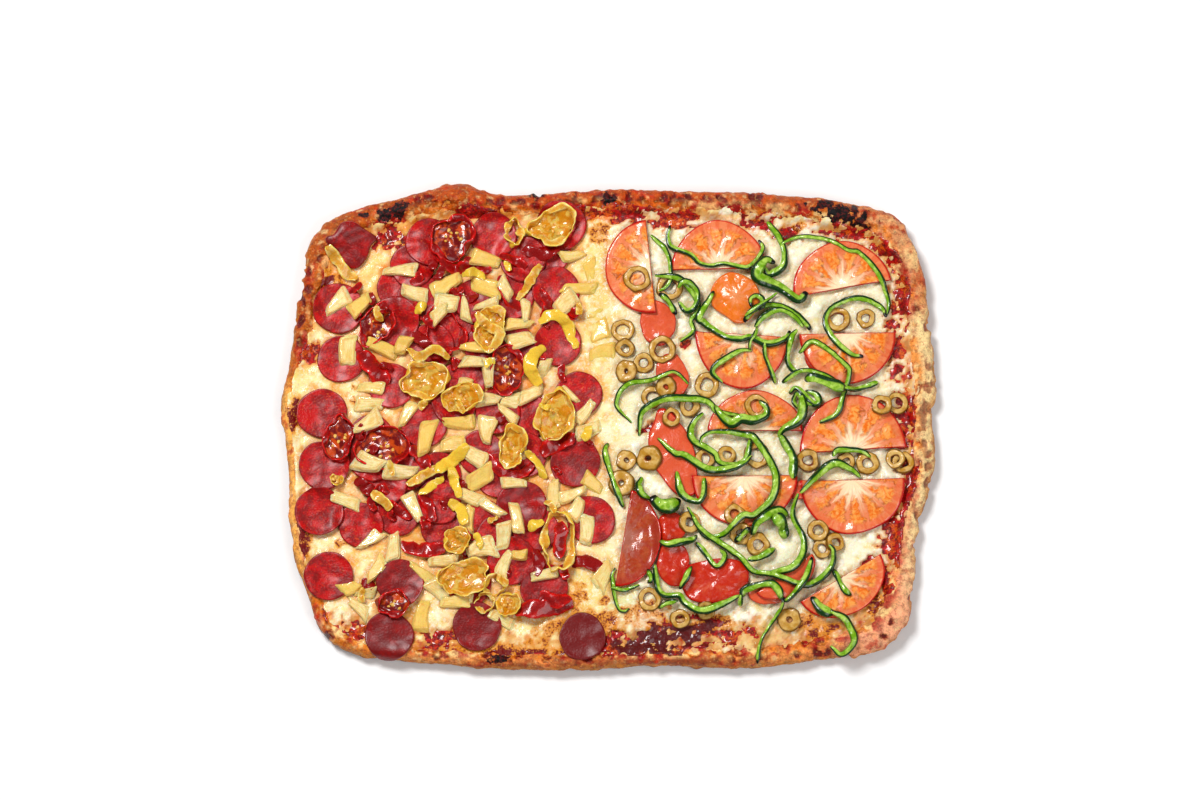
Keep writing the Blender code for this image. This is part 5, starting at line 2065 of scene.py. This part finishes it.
@dataclass
class Strands:
    """Middle lines of strips, with what each point carries, for sweeping a section along."""

    bench: Bench
    width: float
    height: float
    # Rounds of smoothing, and how many of them stay clear of what lies below
    easing: int = 13
    clearing: int = 10
    parts: Parts = field(default_factory=Parts)

    def lay(self, line: Rows, closed: bool, girth: Rows, sink: float, **values: Any) -> None:
        """Adds one strip, resting on what is below it, and lays it on the map.

        Args:
            line: rows of x, y and extra height.
            closed: whether it joins its own start.
            girth: its size at each point, as a share of the section's.
            sink: how far it sinks in.
            values: what else its points carry.
        """
        plan = line[:, :2]
        bed = self.bench.relief.bed(plan, 0.35 * self.width * girth.mean(), 0.5 * MM)
        eased = bed.copy()
        for turn in range(self.easing):
            ends = np.pad(eased, 1, "wrap" if closed else "edge")
            spread = ends[:-2] + ends[2:]
            clear = turn < self.clearing
            eased = np.maximum(bed, (spread + eased) / 3) if clear else (spread + 2 * eased) / 4
        middle = beside(plan, eased + line[:, 2] + 0.5 * self.height * girth - sink)
        count = len(line)
        lines = [(number, (number + 1) % count) for number in range(count if closed else count - 1)]
        self.parts.add(middle, lines=lines, **{
            "lean": 0, "facing": 1, "burn": 0, "inner": 0, **values, "girth": girth})
        self._raise_map(middle, girth)

    def _raise_map(self, middle: Rows, girth: Rows) -> None:
        """Lays a strip's top on the map.

        Args:
            middle: its middle line.
            girth: its size at each point, as a share of the section's.
        """
        ahead = np.gradient(middle[:, :2], axis=0)
        side = beside(-ahead[:, 1], ahead[:, 0])
        side /= np.linalg.norm(side, axis=1)[:, None] + 1e-12
        rows = []
        for share in np.linspace(-0.45, 0.45, 5):
            plan = middle[:, :2] + side * (share * self.width * girth)[:, None]
            rows.append(beside(plan, middle[:, 2] + 0.45 * self.height * girth))
        self.bench.relief.lay(np.vstack(rows))


def swing(rng: np.random.Generator, along: Rows, rate: float) -> Rows:
    """Sine along a line, from anywhere in its turn."""
    return np.sin(along * rate + rng.uniform(0, 6))


def tapered(count: int, ends: float, blunt: float) -> Rows:
    """Girth along a strip that narrows towards both ends.

    Args:
        count: how many points the strip has.
        ends: girth at its ends.
        blunt: share of its length over which it narrows.

    Returns:
        One value for each point.
    """
    along = np.linspace(0, 1, count)
    near = np.minimum(along, 1 - along) / blunt
    return ends + (1 - ends) * np.sqrt(np.clip(near, 0, 1))


@dataclass
class GreenPepper:
    """Curling strips of green pepper over the tomato side."""

    bench: Bench
    sweep: SweepTree
    finish: PepperFinish = PepperFinish("green pepper", soak=0.1, coat=0.6, coat_roughness=0.08)
    width: float = 4.4 * MM
    height: float = 3.3 * MM
    step: float = 1.1 * MM
    sink: float = 0.4 * MM

    def build(self) -> None:
        """Builds all the strips as one piece."""
        strands = Strands(self.bench, self.width, self.height)
        rng = np.random.default_rng(81)
        for wide, *line in GREEN_STRIPS:
            path = smooth_curve(PHOTO.spots(line), self.step, False)
            ahead = np.gradient(path, axis=0)
            turning = ahead[:-1, 0] * ahead[1:, 1] - ahead[:-1, 1] * ahead[1:, 0]
            facing = 1 if turning.sum() > 0 else -1
            along = np.linspace(0, 1, len(path))
            wave = 1 + 0.16 * swing(rng, along, rng.uniform(5, 9))
            girth = wide * PHOTO.pixel / self.width * wave * tapered(len(path), 0.35, 0.22)
            ends = np.minimum(along, 1 - along) * len(path) * self.step
            burn = (0.2 + 0.75 * rng.random()) * (1 - ramp(ends, 1 * MM, 6 * MM))
            hump = np.sin(along * math.pi) * rng.uniform(0, 1.2) * MM
            lean = 0.35 * swing(rng, along, rng.uniform(3, 7))
            strands.lay(beside(path, hump), False, np.clip(girth, 0.3, 3), self.sink,
                        facing=facing, burn=burn, lean=lean)
        made = grow(strands.parts, self.sweep, "green_pepper_strips", Width=self.width,
                    Height=self.height, Roundness=0.62, Sides=12, Finish=self.finish.material())
        roughen(made, 4 * MM, 0.28 * MM, 82)
        self.bench.hand_over(made, "green_pepper", "green_pepper")


@dataclass
class SmallPepper:
    """Slices and strips of a small pepper: thin rings, cups with their inside showing, strips."""

    bench: Bench
    sweep: SweepTree
    finish: PepperFinish
    name: str
    node: str
    slices: Sequence[Any]
    strips: Sequence[Any]
    wall: float
    seed: int
    scraps: int
    jumble: tuple[tuple[float, float], ...] = ((355, 590), (240, 600))
    seeds: list[Rows] = field(default_factory=list)
    film: float = 0.9 * MM
    uneven: float = 0.24
    height: float = 5.0 * MM
    flare: float = 0.55
    ruffle: float = 0.7 * MM
    tilt: float = 0.8 * MM
    ripple: float = 1.1 * MM
    strip_lift: float = 0.5 * MM
    sink: float = 1.0 * MM
    strip_sink: float = 0.2 * MM

    def build(self) -> None:
        """Builds the slices and the strips as one piece."""
        strands = Strands(self.bench, self.wall, self.height)
        ribbons = Strands(self.bench, self.height, self.film)
        floors = SliceMaker(self.bench)
        rng = np.random.default_rng(self.seed)
        for number, (form, x, y, length, breadth, turn, tall) in enumerate(self.slices):
            outline = oval((x, y, length - 2, breadth - 2, turn), 30, self.uneven,
                           self.seed + number)
            path = smooth_curve(outline, 1 * MM, True)
            if form is CUP:
                self._floor(floors, outline, self.seed + 50 + number)
                middle = outline.mean(axis=0)
                for _ in range(int(rng.integers(5, 10))):
                    way = outline[rng.integers(len(outline))] - middle
                    self.seeds.append(middle + way * rng.uniform(0.1, 0.7))
            angle = np.linspace(0, 2 * math.pi, len(path), endpoint=False)
            frill = self.ruffle * swing(rng, angle, rng.integers(4, 8))
            frill = frill + self.tilt * swing(rng, angle, 1)
            lean = self.flare + 0.7 * swing(rng, angle, 2) + 0.4 * swing(rng, angle, 5)
            girth = tall * MM / self.height * (1 + 0.3 * np.sin(angle * 3 + number))
            strands.lay(beside(path, frill), True, girth, self.sink, lean=lean)
        for wide, *line in (*self.strips, *self._scraps(rng)):
            path = smooth_curve(PHOTO.spots(line), 1 * MM, False)
            along = np.linspace(0, 1, len(path))
            ripple = self.ripple * swing(rng, along, rng.uniform(4, 10))
            girth = wide * PHOTO.pixel / self.height * tapered(len(path), 0.45, 0.25)
            lean = math.pi / 2 + 0.5 * swing(rng, along, rng.uniform(3, 8))
            ribbons.lay(beside(path, ripple + self.strip_lift), False, girth, self.strip_sink,
                        lean=lean, facing=rng.choice((-1, 1)))
        skin = self.finish.material()
        made, strips = (
            grow(lines.parts, self.sweep, self.name, Width=thick, Height=self.height, Roundness=0.7,
                 Sides=12, Finish=skin)
            for lines, thick in ((strands, self.wall), (ribbons, self.film)))
        floor = floors.parts.make(self.name + "_insides", skin)
        made = joined([made, strips, floor])
        roughen(made, 5 * MM, 0.9 * MM, self.seed + 7)
        roughen(made, 2.4 * MM, 0.25 * MM, self.seed + 8)
        self.bench.hand_over(made, self.node, self.node)

    def _scraps(self, rng: np.random.Generator) -> list[tuple[float, ...]]:
        """Small torn strips between the larger pieces, where the photograph shows a jumble.

        Args:
            rng: picks their places.

        Returns:
            Rows like those of the strips.
        """
        made = []
        for _ in range(self.scraps):
            x, y = rng.uniform(*self.jumble[0]), rng.uniform(*self.jumble[1])
            turn, half, bend = rng.uniform(0, math.pi), rng.uniform(4, 9), rng.uniform(-4, 4)
            cos, sin = math.cos(turn), math.sin(turn)
            made.append((rng.uniform(6, 11), x - half * cos, y - half * sin, x - bend * sin,
                         y + bend * cos, x + half * cos, y + half * sin))
        return made

    def _floor(self, floors: SliceMaker, outline: Rows, seed: int) -> None:
        """Adds the thin sunken inside of a cup.

        Args:
            floors: lays and gathers the insides.
            outline: rows of x and y round the cup.
            seed: picks its folds.
        """
        middle = outline.mean(axis=0)
        plan, share = floors.spread(middle + (outline - middle) * 0.97)
        flat = with_column(plan, 0)
        folds = 1.5 * np.abs(grain(flat, 6.5 * MM, seed, 2)) + 0.3 * grain(flat, 2.4 * MM, seed + 1)
        lift = (1.2 * share ** 2 + folds * (1 - share ** 6)) * MM
        floors.lay(plan, share, 1 * MM, lift, 0.5 * MM, 1.2 * MM, inner=1, side=0, facing=1,
                   burn=0, down=0)


@dataclass
class Olives:
    """Slices of green olive, mostly rings, half sunk in what they lie on."""

    bench: Bench
    scatter: ScatterTree
    finish: OliveFinish = OliveFinish("green olive", soak=0.1, coat=0.35, coat_roughness=0.12)
    height: float = 3.8 * MM
    sink: float = 1.2 * MM
    walls: dict[OliveCut, float] = field(default_factory=lambda: {
        OliveCut.RING: 4.3 * MM, OliveCut.DISC: 7 * MM})

    def build(self) -> None:
        """Builds all the slices as one piece."""
        rng = np.random.default_rng(91)
        pieces, skin = [], self.finish.material()
        for number, (cut, width, spots) in enumerate(OLIVES):
            radius = width * PHOTO.pixel / 2
            marks = Parts()
            for spot in PHOTO.spots(spots):
                ring = oval((0, 0, 2, 2, 0), 24, 0, 1)
                ring = (ring - ring.mean(axis=0)) / PHOTO.pixel
                shares = np.linspace(0.35, 1, 9)
                plan = spot + (ring[None] * shares[:, None, None]).reshape(-1, 2) * radius
                plane = self.bench.relief.seat(plan, self.sink)
                level = plane[0] + (plan - plan.mean(axis=0)) @ plane[1:]
                self.bench.relief.lay(beside(plan, level + self.height))
                normal = Vector((-plane[1], -plane[2], 1)).normalized()
                tip = Vector((0, 0, 1)).rotation_difference(normal)
                spin = Quaternion((0, 0, 1), rng.uniform(0, 2 * math.pi))
                marks.add(np.array([(*spot, plane[0] + self.height / 2)]),
                          turn=tuple((tip @ spin).to_euler()), size=rng.uniform(0.88, 1.12))
            pieces.append(grow(marks, self.scatter, f"olive_slices_{number}", Radius=radius,
                               Wall=min(self.walls[cut], radius - 0.5 * MM), Height=self.height,
                               Finish=skin))
        made = joined(pieces)
        made.name = "olive_slices"
        roughen(made, 5 * MM, 0.8 * MM, 92)
        self.bench.hand_over(made, "olive")


@dataclass
class Seeds:
    """Loose pepper seeds in and round the cut peppers."""

    bench: Bench
    scatter: ScatterTree
    finish: SeedFinish = SeedFinish("pepper seeds", soak=0.2, coat=0.4)
    length: float = 1.5 * MM

    def build(self, spots: Sequence[Rows]) -> None:
        """Builds a seed at each spot, as one piece.

        Args:
            spots: x and y of each.
        """
        rng = np.random.default_rng(95)
        plan = np.array(spots)
        level = self.bench.relief.bed(plan) + 0.15 * MM
        turns = beside(rng.normal(0, 0.25, (len(plan), 2)), rng.uniform(0, 6.3, len(plan)))
        marks = Parts().add(beside(plan, level), turn=turns,
                            size=rng.uniform(0.75, 1.15, len(plan)))
        made = grow(marks, self.scatter, "pepper_seeds", Radius=self.length,
                    Wall=0.75 * self.length, Height=0.4 * self.length,
                    Finish=self.finish.material())
        self.bench.hand_over(made, "banana_pepper")


@dataclass
class Studio:
    """Floor, soft light and the camera at the photograph's angle."""

    lens: float = 180.0
    sensor: float = 36.0
    floor_size: float = 6.0

    def build(self) -> None:
        """Makes the stage."""
        self._floor()
        self._light("key light", (-0.8, 0.9, 2), size=0.7, power=47)
        self._light("fill light", (1.2, -0.9, 1.7), size=1.4, power=21)
        world = bpy.data.worlds.new("soft room")
        world.use_nodes = True
        background = world.node_tree.nodes["Background"]
        background.inputs["Color"].default_value = (1, 0.99, 0.98, 1)
        background.inputs["Strength"].default_value = 0.17
        bpy.context.scene.world = world
        bpy.context.scene.view_settings.view_transform = "Standard"
        self._camera()

    def _floor(self) -> None:
        """Plain pale floor under the pizza."""
        half = self.floor_size / 2
        mesh = bpy.data.meshes.new("floor")
        corners = [(-half, -half, 0), (half, -half, 0), (half, half, 0), (-half, half, 0)]
        mesh.from_pydata(corners, [], [(0, 1, 2, 3)])
        material = bpy.data.materials.new("pale floor")
        material.use_nodes = True
        shader = material.node_tree.nodes["Principled BSDF"]
        shader.inputs["Base Color"].default_value = (0.97, 0.97, 0.97, 1)
        shader.inputs["Roughness"].default_value = 0.8
        mesh.materials.append(material)
        placed("floor", mesh)

    @staticmethod
    def _light(name: str, place: tuple[float, float, float], size: float, power: float) -> None:
        """Square soft light that looks at the pizza.

        Args:
            name: its name.
            place: where it is.
            size: length of its side.
            power: its power in watts.
        """
        light = bpy.data.lights.new(name, "AREA")
        light.size, light.energy = size, power
        lamp = placed(name, light)
        lamp.location = place
        lamp.rotation_euler = (-Vector(place)).to_track_quat("-Z", "Y").to_euler()

    def _camera(self) -> None:
        """Camera that sees the photograph's frame at its scale."""
        data = bpy.data.cameras.new("camera")
        data.lens, data.sensor_width = self.lens, self.sensor
        distance = PHOTO.across * PHOTO.pixel * self.lens / self.sensor
        x, y = PHOTO.spots(PHOTO.centre)[0]
        back = Vector((0, -math.cos(PHOTO.elevation), math.sin(PHOTO.elevation)))
        data.clip_end = 3 * distance
        camera = placed("camera", data)
        camera.location = Vector((x, y, PHOTO.level)) + back * distance
        camera.rotation_euler = (-back).to_track_quat("-Z", "Y").to_euler()
        bpy.context.scene.camera = camera


def main() -> None:
    """Builds the pizza from the dough up; each piece notes its triangles and its height."""
    logging.basicConfig(level=logging.INFO, format="%(message)s")
    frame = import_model()
    Studio().build()
    low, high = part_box("crust")
    bench = Bench(RimEdge(low, high, 1.2 * MM), Relief(), sorted(frame["nodes"]))
    Crust(bench).build()
    Sauce(bench).build()
    cheese = Cheese(bench)
    melted = cheese.build()
    Pepperoni(bench).build()
    Tomato(bench).build()
    sweep = SweepTree("sweep a strip", "Width", "Height", "Roundness", "Sides")
    rings, flecks = (kind(name, "Radius", "Wall", "Height") for kind, name in (
        (RingTree, "scatter rings"), (SeedTree, "scatter seeds")))
    Olives(bench, rings).build()
    wet = {"coat": 0.6, "coat_roughness": 0.08, "skin_from": 0.2}
    red = PepperFinish(
        "red chilli", soak=0.1, skin=(0.6, 0.07, 0.09), flesh=(0.78, 0.15, 0.12),
        pale=(0.88, 0.26, 0.18), inside=(0.5, 0.06, 0.05), membrane=(0.8, 0.36, 0.24),
        burnt=(0.22, 0.05, 0.09), **wet)
    chilli = SmallPepper(bench, sweep, red, "red_chilli", "chilli", CHILLI_SLICES,
                         CHILLI_STRIPS + (DRIED_CHILLI,), wall=1.9 * MM, seed=400, scraps=44)
    chilli.build()
    Pineapple(bench).build()
    yellow = PepperFinish(
        "yellow pepper", soak=0.4, soak_depth=0.003, skin=(0.98, 0.8, 0.34),
        flesh=(0.98, 0.8, 0.36), pale=(1, 0.91, 0.6), inside=(0.85, 0.57, 0.17),
        membrane=(0.89, 0.73, 0.38), burnt=(0.55, 0.28, 0.1), **wet)
    banana = SmallPepper(bench, sweep, yellow, "yellow_pepper", "banana_pepper", YELLOW_SLICES,
                         YELLOW_STRIPS, wall=1.3 * MM, seed=500, scraps=16)
    banana.build()
    Seeds(bench, flecks).build(chilli.seeds + banana.seeds)
    GreenPepper(bench, sweep).build()
    # Gathered oil and painted shade round the toppings
    cheese.stain(melted)


if __name__ == "__main__":
    main()
